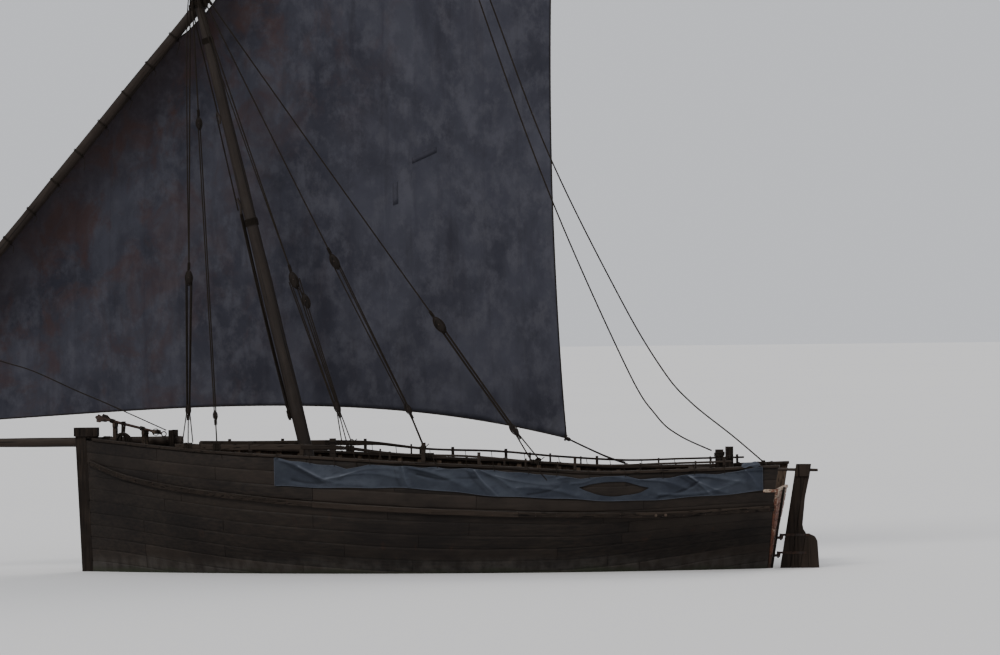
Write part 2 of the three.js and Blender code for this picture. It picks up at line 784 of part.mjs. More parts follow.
function addYard() {
  const along = (from, to, steps) =>
    Array.from({ length: steps + 1 }, (_, i) => lerp(from, to, i / steps));
  const lowerStations = along(YARD_FOOT_S, LOWER_SPAR_END_S, 8);
  const lower = bar(lowerStations.map(yardPoint), lowerStations.map(lowerSparRadius), 12);
  const journal = (s, half, r) => bar([yardPoint(s - half), yardPoint(s + half)], r, 16);
  const lowerSpar = join([
    lower,
    journal(0, TACK_JOURNAL_HALF, TACK_JOURNAL_R),
    journal(MAST_CROSSING_S, JOURNAL_HALF, JOURNAL_R),
  ]);
  addPart("yard_lower_spar", lowerSpar, MATERIALS.spar);

  const upperStations = along(UPPER_SPAR_START_S, YARD_PEAK_S, 8);
  const upperForm = (extra) =>
    bar(upperStations.map(upperSparPoint), upperStations.map((s) => upperSparRadius(s) + extra), 12);
  addPart("yard_upper_spar", upperForm(0), MATERIALS.spar);

  const lowerGrown = bar(
    lowerStations.map(yardPoint), lowerStations.map((s) => lowerSparRadius(s) + FIT), 12,
  );
  LASHINGS.forEach((s, i) => {
    const band = loft([s - LASHING_HALF, s + LASHING_HALF].map(bandLoop));
    const lashing = band.subtract(lowerGrown).subtract(upperForm(FIT));
    addPart("yard_lashing_" + (i + 1), lashing, MATERIALS.rope);
  });
}

// How far under the yard's line the sail's head is laced: [distance from the tack, offset]
const headOffset = straight([
  [SAIL_TACK_S, 112],
  [9000, 118],
  [MAST_CROSSING_S - 900, 122],
  [MAST_CROSSING_S, SAIL_HEAD_GAP_AT_MAST],
  [MAST_CROSSING_S + 900, 129],
  [LOWER_SPAR_END_S + 130, 98],
  [LOWER_SPAR_END_S + 1350, -66],
  [SAIL_PEAK_S, -76],
]);

// A point of the sail: u runs from the tack to the leech, v from the foot to the yard
function sailPoint(u, v) {
  const s = lerp(SAIL_TACK_S, SAIL_PEAK_S, u);
  const tack = yardPoint(SAIL_TACK_S);
  const peak = yardPoint(SAIL_PEAK_S);
  const leech = SAIL_CLEW.clone().lerp(peak, v);
  leech.x += LEECH_HOLLOW * 4 * v * (1 - v);
  const point = tack.clone().lerp(leech, u);
  const w = u ** FOOT_HOLLOW_POWER;
  point.z += FOOT_HOLLOW * 4 * w * (1 - w) * (1 - v) ** 3;
  point.y -= SAIL_BELLY * Math.sin(Math.PI * u ** 0.8) * (1 - v ** 2) * (0.7 + 0.6 * v);
  return point.addScaledVector(YARD_DOWN, v ** 3 * headOffset(s));
}

function addSail() {
  const side = YARD_DIRECTION.clone().cross(YARD_DOWN).normalize();
  const half = SAIL_THICKNESS / 2;
  const loops = SAIL_COLUMNS.map((u) => {
    const row = Array.from({ length: SAIL_ROWS + 1 }, (_, j) => sailPoint(u, j / SAIL_ROWS));
    const near = row.map((p) => p.clone().addScaledVector(side, half));
    const far = row.map((p) => p.clone().addScaledVector(side, -half)).reverse();
    return [...near, ...far];
  });
  const robands = ROBANDS.map((s) => {
    const onUpper = s > LOWER_SPAR_END_S;
    const radius = onUpper ? upperSparRadius(s) : lowerSparRadius(s);
    const centre = onUpper ? upperSparPoint(s) : yardPoint(s);
    const round = ringAround(radius, ROBAND_R, ROBAND_SEGMENTS);
    return ring(centre, YARD_DIRECTION, round, ROBAND_R, ROBAND_SEGMENTS, 4);
  });
  addPart("sail", join([loft(loops), ...robands]), MATERIALS.sail);
}

// The thick rope collar at the hounds
function houndsForm() {
  return bar([HOUNDS_Z, HOUNDS_Z + HOUNDS_HEIGHT].map(mastPoint), HOUNDS_R, 16);
}

// A wooden block, round and tapered, around the middle of a line
function pulley(centre, along, size = 1) {
  const lengths = [-150, -95, 0, 95, 150];
  const radii = [26, 68, 80, 68, 26].map((r) => r * size);
  const points = lengths.map((l) => centre.clone().addScaledVector(along, l * size));
  return bar(points, radii, 8);
}

function addShrouds() {
  const belowRail = railForm("port", FIT);
  const hounds = mastPoint(HOUNDS_Z);
  const mastLine = vec(MAST_RAKE, 0, 1).normalize();
  SHROUDS.forEach(([footX, upperZ, lowerZ, degrees], i) => {
    const angle = THREE.MathUtils.degToRad(degrees);
    const round = vec(Math.cos(angle), Math.sin(angle), -MAST_RAKE * Math.cos(angle));
    const foot = railCentre(footX, "port");
    foot.z = railTop(footX);
    const start = hounds.clone().addScaledVector(round, mastRadius(HOUNDS_Z) + ROPE_R + 6);
    const end = foot.clone().add(vec(0, 0, 30));
    const lean = mastLine.angleTo(start.clone().sub(end));
    start.addScaledVector(mastLine, -FIT - ROPE_R * Math.sin(lean));
    const eye = block(
      foot.x - 60, foot.x + 60, foot.y - 30, foot.y + 30, foot.z - 60, foot.z + 40,
    ).subtract(belowRail);
    const at = (z) => start.clone().lerp(end, (start.z - z) / (start.z - end.z));
    const along = end.clone().sub(start).normalize();
    const across = along.clone().cross(vec(0, 1, 0)).normalize();
    const upper = at(upperZ);
    const lower = at(lowerZ);
    const falls = [-1, 1].map((side) => {
      const shift = across.clone().multiplyScalar(side * FALL_SPREAD);
      return bar([upper.clone().add(shift), lower.clone().add(shift)], ROPE_R, 6);
    });
    const shroud = join([
      bar([start, upper], ROPE_R, 6),
      pulley(upper, along),
      ...falls,
      pulley(lower, along),
      bar([lower, end], ROPE_R, 6),
      eye,
    ]);
    addPart("shroud_tackle_" + (i + 1), shroud, MATERIALS.rope);
  });
}

// Both vangs: the fore one is made fast to the port quarter bitt, the aft one on the gunwale
function addVangs() {
  const leeward = YARD_DIRECTION.clone().cross(YARD_DOWN).normalize();
  const start = yardPoint(VANG_START_S)
    .addScaledVector(YARD_DOWN, VANG_BELOW)
    .addScaledVector(leeward, -VANG_BESIDE);
  const { x, y, half, top } = QUARTER_BITT;
  const reach = half + FIT;
  const post = block(x - reach, x + reach, y - reach, y + reach, AFT_DECK.foreZ, top + FIT);
  const belowGunwale = slab(-7400, -7000, DEEP, (at) => gunwaleTop(at) + FIT, 2);
  const ropes = [FORE_VANG, AFT_VANG].map((points) => {
    const line = [start, ...points.map((p) => vec(...p))];
    const path = new THREE.CatmullRomCurve3(line, false, "catmullrom");
    return bar(path.getPoints(VANG_STEPS), ROPE_R, 6);
  });
  addPart("vangs", join(ropes).subtract(post).subtract(belowGunwale), MATERIALS.rope);
}

// Slings that carry the yard at the mast and at the bowsprit's end, and the halyard
function addYardSlings() {
  const mastLine = vec(MAST_RAKE, 0, 1).normalize();
  const collarR = ringAround(JOURNAL_R);
  const atMast = mastPoint(YARD_AT_MAST.z);
  const parrelR = ringAround(mastRadius(atMast.z));
  const masthead = mastPoint(MAST_HEAD_Z - 250);
  const mastheadR = ringAround(mastRadius(masthead.z));
  const toMast = atMast.clone().sub(YARD_AT_MAST).normalize();
  const parrel = join([
    ring(YARD_AT_MAST, YARD_DIRECTION, collarR, ROPE_R),
    ring(atMast, mastLine, parrelR, ROPE_R),
    bar([
      YARD_AT_MAST.clone().addScaledVector(toMast, collarR),
      atMast.clone().addScaledVector(toMast, -parrelR),
    ], 2 * ROPE_R, 8),
    ring(masthead, mastLine, mastheadR, ROPE_R),
    bar([
      YARD_AT_MAST.clone().addScaledVector(YARD_DOWN, -collarR),
      masthead.clone().add(vec(0, -mastheadR, 0)),
    ], ROPE_R, 6),
  ]);
  addPart("yard_sling", parrel, MATERIALS.rope);
}

const hingeX = (z) => transomX(z) - HINGE_BEHIND_TRANSOM;
const HINGE_LINE = vec(-TRANSOM_RAKE, 0, 1).normalize();

// A flat piece cut to an outline in x and z
function plate(points, thickness) {
  const shape = new THREE.Shape(points.map(([x, z]) => new THREE.Vector2(x, z)));
  const geometry = new THREE.ExtrudeGeometry(shape, { depth: thickness, bevelEnabled: false });
  geometry.rotateX(Math.PI / 2);
  geometry.translate(0, thickness / 2, 0);
  return solid(geometry);
}

function addRudder() {
  const foreX = (z) => transomX(z) - RUDDER_GAP;
  const outline = [
    [foreX(RUDDER_HEAD_Z), RUDDER_HEAD_Z],
    [foreX(RUDDER_FOOT_Z), RUDDER_FOOT_Z],
    ...RUDDER_AFT_EDGE,
  ];
  const head = [
    [foreX(RUDDER_HEAD_Z) - 5, RUDDER_HEAD_Z],
    [foreX(RUDDER_CHEEK_Z) - 5, RUDDER_CHEEK_Z],
    [-7930, RUDDER_CHEEK_Z],
    [-7968, 2160],
  ];
  const tiller = tillerForm(FIT);
  const rudder = plate(outline, RUDDER_THICKNESS).add(plate(head, RUDDER_HEAD_THICKNESS));
  addPart("rudder", rudder.subtract(tiller), MATERIALS.timber);
  addPart("tiller", tillerForm(0), MATERIALS.spar);

  GUDGEON_HEIGHTS.forEach((z, i) => {
    const low = vec(hingeX(z), 0, z);
    const onHinge = (distance) => low.clone().addScaledVector(HINGE_LINE, distance);
    const upright = (from, to, r, sides) => bar([onHinge(from), onHinge(to)], r, sides);
    const hole = upright(-100, 200, GUDGEON_HOLE_R, 16);
    const postX = (height) => transomX(height) - STERNPOST_DEPTH - 2 * FIT;
    const arm = loft(
      [z, z + GUDGEON_HEIGHT - 5].map((height) => [
        vec(postX(height), 28, height),
        vec(hingeX(height), 28, height),
        vec(hingeX(height), -28, height),
        vec(postX(height), -28, height),
      ]),
    );
    const eye = upright(0, GUDGEON_HEIGHT, GUDGEON_R, 16);
    addPart("gudgeon_" + (i + 1), arm.add(eye).subtract(hole), MATERIALS.iron);

    const above = GUDGEON_HEIGHT + FIT;
    const pin = upright(-25, above + 45, PINTLE_R, 16);
    const cap = upright(above, above + 50, GUDGEON_R, 16);
    const reach = loft(
      [z + above + 4, z + above + 48].map((height) => [
        vec(hingeX(height), 26, height),
        vec(foreX(height) + FIT, 26, height),
        vec(foreX(height) + FIT, -26, height),
        vec(hingeX(height), -26, height),
      ]),
    );
    addPart("pintle_" + (i + 1), join([pin, cap, reach]), MATERIALS.iron);
  });
}

function tillerForm(extra) {
  const pivotX = hingeX(TILLER_Z);
  const ends = [
    vec(pivotX - TILLER_TAIL, 0, TILLER_Z - 5),
    vec(pivotX + TILLER_LENGTH, 0, TILLER_Z + 60),
  ];
  return bar(ends, TILLER_R + extra, 10);
}

const deckTop = ({ aftX, foreX, aftZ, foreZ }) => (x) =>
  lerp(aftZ, foreZ, (x - aftX) / (foreX - aftX));

// Two posts joined by a crossbar, standing on the foredeck
function gallows(x, y, spread, barTop, postTop, size) {
  const half = size / 2;
  const below = slab(FOREDECK.aftX, FOREDECK.foreX, DEEP, (at) => deckTop(FOREDECK)(at) + FIT, 2);
  const posts = [-1, 1].map((side) => {
    const centre = y + side * spread;
    return block(x - half, x + half, centre - half, centre + half, 1900, postTop);
  });
  const reach = spread + half + 60;
  const crossbar = block(x - half + 5, x + half - 5, y - reach, y + reach, barTop - 90, barTop);
  return join([...posts, crossbar]).subtract(below);
}

// Posts on the decks: bitts at the bowsprit's heel and the quarters, rests for the anchor
function addDeckPosts() {
  const belowAftDeck = slab(
    AFT_DECK.aftX, AFT_DECK.foreX, DEEP, (x) => deckTop(AFT_DECK)(x) + FIT, 2,
  );
  for (const [side, sign] of Object.entries(SIDES)) {
    const { x, half, top, pinZ, pinHalf } = QUARTER_BITT;
    const y = sign * QUARTER_BITT.y;
    const post = block(x - half, x + half, y - half, y + half, AFT_DECK.foreZ - 90, top);
    const pin = block(x - 30, x + 30, y - pinHalf, y + pinHalf, pinZ - 30, pinZ + 30);
    addPart("quarter_bitt_" + side, post.add(pin).subtract(belowAftDeck), MATERIALS.timber);
  }
  const heelBarTop = BOWSPRIT_Z - BOWSPRIT_AFT_R + 2;
  addPart(
    "bowsprit_bitts",
    gallows(HEEL_BITTS.x, BOWSPRIT_Y, HEEL_BITTS.spread, heelBarTop - FIT, HEEL_BITTS.top, HEEL_BITTS.post),
    MATERIALS.timber,
  );
  for (const [name, x, spread] of ANCHOR_RESTS) {
    const barTop = anchorLine(x).z - ANCHOR_SHANK_R + 12;
    const rest = gallows(x, ANCHOR_Y, spread, barTop, barTop - 5, REST_POST).subtract(shankForm(FIT));
    addPart(name, rest, MATERIALS.timber);
  }
}

const anchorLine = (x) => vec(x, ANCHOR_Y, ANCHOR_FORE_Z - ANCHOR_SLOPE * (ANCHOR_FORE_X - x));

const shankForm = (extra = 0) =>
  bar([ANCHOR_AFT_X, ANCHOR_FORE_X].map(anchorLine), ANCHOR_SHANK_R + extra, 8);

// The anchor lies on its rests, arms forward and wooden stock aft
function addAnchor() {
  const along = vec(1, 0, ANCHOR_SLOPE).normalize();
  const crown = anchorLine(ANCHOR_FORE_X);
  const shankEnd = anchorLine(ANCHOR_AFT_X);
  const arm = (side) => {
    const points = ANCHOR_ARM_RADII.map((_, i) => {
      const angle = (ANCHOR_ARM_ANGLE * i) / (ANCHOR_ARM_RADII.length - 1);
      return crown.clone()
        .addScaledVector(along, -ANCHOR_ARM_BEND * (1 - Math.cos(angle)))
        .add(vec(0, side * ANCHOR_ARM_BEND * Math.sin(angle), 0));
    });
    return bar(points, ANCHOR_ARM_RADII, 8);
  };
  const stockAt = shankEnd.clone().addScaledVector(along, 120);
  const stock = block(
    stockAt.x - 45, stockAt.x + 45, ANCHOR_Y - ANCHOR_STOCK_HALF, ANCHOR_Y + ANCHOR_STOCK_HALF,
    stockAt.z - ANCHOR_SHANK_R - 15, stockAt.z + 55,
  );
  const eye = ring(shankEnd.clone().addScaledVector(along, -45), vec(0, 1, 0), 50, 12);
  addPart("anchor", join([shankForm(), arm(1), arm(-1), stock, eye]), MATERIALS.iron);
}

addHull();
addSideBands();
addTopRails();
addDecks();
addMast();
addBowsprit();
addYard();
addSail();
addShrouds();
addVangs();
addYardSlings();
addRudder();
addDeckPosts();
addAnchor();

export default model;
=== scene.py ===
import math
import random

import bmesh
import bpy
import numpy as np
from mathutils import Matrix, Vector


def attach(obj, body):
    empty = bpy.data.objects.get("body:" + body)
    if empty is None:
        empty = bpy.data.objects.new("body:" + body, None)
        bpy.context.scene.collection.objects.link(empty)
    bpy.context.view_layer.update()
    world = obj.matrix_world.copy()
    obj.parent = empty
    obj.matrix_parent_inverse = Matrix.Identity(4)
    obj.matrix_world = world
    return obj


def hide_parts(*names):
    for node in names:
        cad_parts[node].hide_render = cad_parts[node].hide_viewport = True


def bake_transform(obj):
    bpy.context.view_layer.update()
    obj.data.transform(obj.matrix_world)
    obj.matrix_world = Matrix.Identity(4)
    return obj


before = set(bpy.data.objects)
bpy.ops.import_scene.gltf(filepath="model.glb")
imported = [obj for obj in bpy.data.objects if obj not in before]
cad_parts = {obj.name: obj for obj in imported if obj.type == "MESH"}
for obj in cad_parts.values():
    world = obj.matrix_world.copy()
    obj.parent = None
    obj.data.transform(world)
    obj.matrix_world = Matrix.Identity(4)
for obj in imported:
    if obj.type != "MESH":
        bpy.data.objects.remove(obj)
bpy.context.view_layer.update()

# Hull lines, as in the solids
TRANSOM_FOOT_X = -7.11
TRANSOM_RAKE = 0.165
STEM_RABBET_X = 7.25
STEM_RAKE = 0.043
KEEL_TOP_Z = -1.05
FULL_BEAM_Z = 2.3
HALF_BEAM = 2.3
KEEL_HALF = 0.09
WIDEST_U = 0.47
BILGE_POWER = 2.6
BILGE_FULLNESS = 0.62
WALL = 0.12
PLANK = 0.045
TRANSOM_SHARE = 0.0042
GUNWALE_HEIGHT = 0.06
RAIL_AFT_X = -6.45
RAIL_FORE_X = 5.2
# Depth of the top rail along the boat: [x, depth]
RAIL_DEPTH = [[-6.45, 0.042], [0.3, 0.048], [1.4, 0.07], [1.9, 0.112], [5.2, 0.12]]

# Half width of the transom at each height: [z, y]
TRANSOM_HALF = [
    [-1.05, 0.09], [-0.3, 0.105], [0.13, 0.19], [0.35, 0.33], [0.63, 0.57],
    [1.0, 0.96], [1.24, 1.23], [1.45, 1.39], [1.68, 1.49], [2.3, 1.56],
]
# Height of the bulwark's top along the hull: [x, z]
BULWARK_TOP = [
    [-7.6, 2.13], [-6.7, 2.1], [-5.2, 2.06], [-3.6, 2.045], [-2.0, 2.15],
    [0.0, 2.255], [1.75, 2.37], [4.25, 2.51], [7.5, 2.79],
]
# Lower edge of the weather cloth: [x, z]
CLOTH_FOOT = [
    [-7.3, 1.72], [-6.45, 1.6], [-4.6, 1.5], [-2.12, 1.58], [-0.67, 1.72], [0.78, 1.795], [3.1, 1.84],
]
# Top rail above the gunwale: [x, height of its upper face]
RAIL_TOP = [
    [-6.45, 2.29], [-5.2, 2.265], [-3.9, 2.24], [-2.4, 2.33], [-1.1, 2.45],
    [0.36, 2.51], [1.8, 2.68], [4.25, 2.7], [5.3, 2.72],
]

# Spars
MAST_X, MAST_Z, MAST_RAKE = 2.729, 2.829, 0.2328
MAST_FOOT_Z, MAST_HEAD_Z = -0.56, 13.2
MAST_RADII = [[-0.56, 0.15], [2.5, 0.142], [8.0, 0.122], [12.2, 0.098], [13.2, 0.078]]
HOUNDS_Z = 12.28
BOWSPRIT_Y, BOWSPRIT_Z = -0.25, 2.735
BOWSPRIT_AFT_X, BOWSPRIT_END_X = 5.35, 12.95
BOWSPRIT_RADII = [[5.35, 0.112], [12.95, 0.078]]
YARD_TACK = np.array([12.72, 0.015, 2.735])
YARD_AT_MAST = np.array([4.91, -0.38, 12.0])
YARD_LENGTH = np.linalg.norm(YARD_AT_MAST - YARD_TACK)
YARD_ALONG = (YARD_AT_MAST - YARD_TACK) / YARD_LENGTH
SAIL_CLEW = np.array([-2.64, -2.0, 2.7])
LOWER_SPAR = (-0.35, 17.2)
UPPER_SPAR = (13.2, 25.25)
LOWER_RADII = [[-0.35, 0.092], [6.0, 0.108], [YARD_LENGTH, 0.112], [17.2, 0.07]]
UPPER_RADII = [[13.2, 0.07], [18.0, 0.088], [25.25, 0.042]]
UPPER_OFFSET = [[13.2, 0.188], [25.25, 0.124]]

# Sail
SAIL_TACK_S, SAIL_PEAK_S = 0.52, 24.9
FOOT_HOLLOW, LEECH_HOLLOW, SAIL_BELLY = 0.585, 0.5, 1.25
# The foot is hollowest aft of its middle: the share along it is raised to this power
FOOT_HOLLOW_POWER = 1.5
HEAD_OFFSET = [
    [0.52, 0.112], [9.0, 0.118], [YARD_LENGTH - 0.9, 0.122], [YARD_LENGTH, 0.215],
    [YARD_LENGTH + 0.9, 0.129], [17.33, 0.098], [18.55, -0.066], [24.9, -0.076],
]


def unit(v):
    v = np.asarray(v, float)
    return v / np.linalg.norm(v)


def straight(rows):
    """Straight lines through the rows [x, value] of a table."""
    xs, ys = np.array(rows, float).T
    return lambda x: np.interp(x, xs, ys)


def curve(rows):
    """A smooth function through the rows [x, value] of a table."""
    xs, ys = np.array(rows, float).T
    last = len(xs) - 1
    low = np.maximum(np.arange(last + 1) - 1, 0)
    high = np.minimum(np.arange(last + 1) + 1, last)
    slope = (ys[high] - ys[low]) / (xs[high] - xs[low])

    def value(x):
        x = np.clip(x, xs[0], xs[-1])
        i = np.clip(np.searchsorted(xs, x), 1, last) - 1
        step = xs[i + 1] - xs[i]
        t = (x - xs[i]) / step
        return (
            (2 * t**3 - 3 * t**2 + 1) * ys[i]
            + (t**3 - 2 * t**2 + t) * step * slope[i]
            + (3 * t**2 - 2 * t**3) * ys[i + 1]
            + (t**3 - t**2) * step * slope[i + 1]
        )

    return value


transom_half = curve(TRANSOM_HALF)
bulwark_top = curve(BULWARK_TOP)
cloth_foot = curve(CLOTH_FOOT)
rail_top = curve(RAIL_TOP)
rail_depth = straight(RAIL_DEPTH)
mast_radius = curve(MAST_RADII)
lower_radius = curve(LOWER_RADII)
upper_radius = curve(UPPER_RADII)
upper_offset = straight(UPPER_OFFSET)
bowsprit_radius = straight(BOWSPRIT_RADII)
head_offset = straight(HEAD_OFFSET)


def transom_x(z):
    return TRANSOM_FOOT_X - TRANSOM_RAKE * z


def rabbet_x(z):
    return STEM_RABBET_X + STEM_RAKE * z


def hull_x(u, z):
    return transom_x(z) + u * (rabbet_x(z) - transom_x(z))


def hull_share(x, z):
    return (x - transom_x(z)) / (rabbet_x(z) - transom_x(z))


def half_breadth(u, z):
    """Half breadth of the planking's outer face at share u of the length and height z."""
    height = np.clip((z - KEEL_TOP_Z) / (FULL_BEAM_Z - KEEL_TOP_Z), 0, 1)
    bilge = (1 - (1 - height) ** BILGE_POWER) ** BILGE_FULLNESS
    widest = KEEL_HALF + (HALF_BEAM - KEEL_HALF) * bilge
    fore = np.clip((u - WIDEST_U) / (1 - WIDEST_U), 0, 1) ** (1.7 + 1.3 * height)
    aft = np.clip((WIDEST_U - u) / WIDEST_U, 0, 1) ** (1.9 + 0.7 * height)
    ahead = widest + (KEEL_HALF - widest) * fore
    behind = widest + (transom_half(z) - widest) * aft
    return np.where(u >= WIDEST_U, ahead, behind)


def breadth_at(x, z):
    return half_breadth(hull_share(x, z), z)


def gunwale_top(x):
    return bulwark_top(x) + GUNWALE_HEIGHT


def rail_centre(x, side=1):
    z = rail_top(x) - rail_depth(x) / 2
    return np.array([x, side * (breadth_at(x, z) - WALL / 2), z])


def mast_point(z):
    return np.array([MAST_X + MAST_RAKE * (z - MAST_Z), 0, z])


def yard_point(s):
    return YARD_TACK + YARD_ALONG * s


YARD_DOWN = SAIL_CLEW - YARD_TACK
YARD_DOWN = unit(YARD_DOWN - YARD_ALONG * (YARD_DOWN @ YARD_ALONG))
YARD_SIDE = np.cross(YARD_ALONG, YARD_DOWN)
MAST_LINE = unit([MAST_RAKE, 0, 1])


def upper_point(s):
    return yard_point(s) - YARD_DOWN * upper_offset(s)


# Paths


def resample(points, step):
    """The same path with points an even step apart."""
    points = np.asarray(points, float)
    lengths = np.r_[0, np.cumsum(np.linalg.norm(np.diff(points, axis=0), axis=1))]
    count = max(int(round(lengths[-1] / step)), 1) + 1
    at = np.linspace(0, lengths[-1], count)
    return np.stack([np.interp(at, lengths, points[:, k]) for k in range(3)], 1)


def spline(points, per_span=12):
    """A smooth path through the points."""
    p = np.asarray(points, float)
    p = np.vstack([2 * p[0] - p[1], p, 2 * p[-1] - p[-2]])
    t = np.linspace(0, 1, per_span, endpoint=False)[:, None]
    spans = []
    for a, b, c, d in zip(p, p[1:], p[2:], p[3:]):
        cubic = 3 * b - 3 * c + d - a
        square = 2 * a - 5 * b + 4 * c - d
        spans.append(0.5 * (2 * b + (c - a) * t + square * t**2 + cubic * t**3))
    return np.vstack([*spans, p[-2]])


def sagging(start, end, drop, steps=24):
    """A rope between two points that hangs drop below the straight line at its middle."""
    t = np.linspace(0, 1, steps + 1)[:, None]
    path = np.asarray(start) * (1 - t) + np.asarray(end) * t
    path[:, 2] -= (4 * drop * t * (1 - t))[:, 0]
    return path


def circle(centre, axis, radius, turns, climb, steps=24, start=0.0, squeeze=1.0):
    """A path round an axis that climbs along it by the given amount in all."""
    axis = unit(axis)
    side = unit(np.cross(axis, [0.3, 1, 0.2]))
    other = np.cross(axis, side)
    t = np.linspace(0, turns, int(steps * turns) + 1)[:, None]
    angle = 2 * math.pi * t + start
    around = side * np.cos(angle) + other * np.sin(angle) * squeeze
    return np.asarray(centre) + radius * around + axis * climb * t / turns


def path_frames(points, up=None):
    """Across and up vectors for each point of a path, carried along it without twist."""
    along = np.gradient(points, axis=0)
    along /= np.linalg.norm(along, axis=1)[:, None] + 1e-12
    if up is not None:
        across = np.cross(along, np.asarray(up, float))
        across /= np.linalg.norm(across, axis=1)[:, None] + 1e-12
        return across, np.cross(across, along)
    guess = np.eye(3)[np.argmin(np.abs(along[0]))]
    across = np.empty_like(points)
    current = np.cross(along[0], guess)
    for i, direction in enumerate(along):
        current = current - direction * (current @ direction)
        current /= np.linalg.norm(current) + 1e-12
        across[i] = current
    return across, np.cross(across, along)


def round_section(sides):
    angle = 2 * math.pi * np.arange(sides) / sides
    return np.stack([np.cos(angle), np.sin(angle)], 1)


def timber_section(width, height, chamfer):
    """A rectangle with its four corners taken off."""
    w, h, c = width / 2, height / 2, chamfer
    return np.array([
        [w - c, -h], [w, -h + c], [w, h - c], [w - c, h],
        [-w + c, h], [-w, h - c], [-w, -h + c], [-w + c, -h],
    ])


JITTER_SINES = 7
# Length of one turn of a rope's strands, in radii of the rope
ROPE_LAY = 7.0
# Points round a rope and steps in each turn, for ropes seen from further off or thinner than the rest
THIN = {"around": 7, "steps": 5}
THINNEST = {"around": 6, "steps": 5}


def jitter(points, amount, scale, seed):
    """Smooth uneven offsets for a set of points, from a few sines with seeded directions."""
    rng = np.random.default_rng(abs(seed))
    points = np.asarray(points, float)
    total = np.zeros(points.shape[:-1])
    for k in range(JITTER_SINES):
        direction = unit(rng.normal(size=3)) * scale * (1 + 0.45 * k)
        total += np.sin(points @ direction + rng.uniform(0, 7)) / (1 + 0.5 * k)
    return amount * total / 2.2


def line(x, y, z):
    """Points from three coordinates, of which one or more are arrays."""
    return np.stack(np.broadcast_arrays(x, y, z), 1).astype(float)


class Shape:
    """Gathers vertices and faces, with a tone from 0 to 1 on each vertex, into one object."""

    def __init__(self):
        self.points = []
        self.tones = []
        self.quads = []
        self.others = []
        self.count = 0

    def add(self, points, quads, others, tone):
        points = np.asarray(points, float).reshape(-1, 3)
        self.points.append(points)
        self.tones.append(np.broadcast_to(np.asarray(tone, float).ravel(), (len(points),)))
        self.quads.append(quads + self.count)
        self.others += [tuple(i + self.count for i in face) for face in others]
        self.count += len(points)

    def grid(self, points, tone=0.5, wrap=False, loop=False, caps=False):
        """Rows of points; wrap closes each row, loop joins the last one to the first, caps fill the ends."""
        rows, columns = points.shape[:2]
        index = np.arange(rows * columns).reshape(rows, columns)
        if wrap:
            index = np.hstack([index, index[:, :1]])
        if loop:
            index = np.vstack([index, index[:1]])
        quads = np.stack([index[:-1, :-1], index[:-1, 1:], index[1:, 1:], index[1:, :-1]], -1)
        ends = []
        if caps:
            ends = [tuple(range(columns))[::-1], tuple((rows - 1) * columns + i for i in range(columns))]
        if np.ndim(tone) == 1:
            tone = np.repeat(tone, columns)
        self.add(points, quads.reshape(-1, 4), ends, tone)

    def sweep(self, points, section, up=None, scale=1.0, turn=None, loop=False, tone=0.5):
        """A section carried along a path; scale and turn may change from point to point."""
        points = np.asarray(points, float)
        across, high = path_frames(points, up)
        if loop:
            points, across, high = points[:-1], across[:-1], high[:-1]
        a, b = section[:, 0][None, :], section[:, 1][None, :]
        if turn is not None:
            angle = np.asarray(turn)[: len(points), None]
            a, b = a * np.cos(angle) - b * np.sin(angle), a * np.sin(angle) + b * np.cos(angle)
        size = np.broadcast_to(np.asarray(scale, float), (len(points),))[:, None, None]
        rings = points[:, None] + size * (a[..., None] * across[:, None] + b[..., None] * high[:, None])
        self.grid(rings, tone, wrap=True, loop=loop, caps=not loop)

    def rod(self, points, radius, sides, tone=0.5, loop=False):
        self.sweep(points, round_section(sides), scale=radius, tone=tone, loop=loop)

    def rope(self, points, radius, tone=0.5, around=9, steps=6, loop=False):
        """A three-strand rope: a lobed section that turns once in each lay."""
        path = resample(points, ROPE_LAY * radius / steps)
        angle = 2 * math.pi * np.arange(around) / around
        lobed = round_section(around) * (0.87 + 0.15 * np.cos(3 * angle))[:, None]
        turn = 2 * math.pi * np.arange(len(path)) / steps
        self.sweep(path, lobed, scale=radius, turn=turn, loop=loop, tone=tone)

    def timber(self, points, width, height, up=(0, 0, 1), tone=0.5, chamfer=0.008):
        self.sweep(points, timber_section(width, height, chamfer), up=up, tone=tone)

    def box(self, low, high, tone, chamfer):
        """A block along the axes with its long edges taken off."""
        low, high = np.asarray(low, float), np.asarray(high, float)
        size = high - low
        axis = int(np.argmax(size))
        middle = (low + high) / 2
        start, end = middle.copy(), middle.copy()
        start[axis], end[axis] = low[axis], high[axis]
        up = np.array([0, 0, 1.0]) if axis != 2 else np.array([0, 1.0, 0])
        across = {0: (1, 2), 1: (0, 2), 2: (0, 1)}[axis]
        steps = [start, start + (end - start) * 0.02, end - (end - start) * 0.02, end]
        self.timber(steps, size[across[0]], size[across[1]], up, tone, chamfer)

    def build(self, name, look, body="root", replaces=(), sharp=38, outward=True, slot=None):
        mesh = bpy.data.meshes.new(name)
        faces = np.concatenate(self.quads).tolist()
        mesh.from_pydata(np.concatenate(self.points).tolist(), [], faces + self.others)
        tones = mesh.attributes.new("tone", "FLOAT", "POINT")
        tones.data.foreach_set("value", np.concatenate(self.tones).astype(np.float32))
        if outward:
            made = bmesh.new()
            made.from_mesh(mesh)
            bmesh.ops.recalc_face_normals(made, faces=made.faces)
            made.to_mesh(mesh)
            made.free()
        mesh.shade_smooth()
        mesh.set_sharp_from_angle(angle=math.radians(sharp))
        mesh.materials.append(LOOKS[look])
        obj = bpy.data.objects.new(name, mesh)
        bpy.context.collection.objects.link(obj)
        if body:
            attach(obj, body)
        if replaces:
            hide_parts(*replaces)
        return obj


# Materials


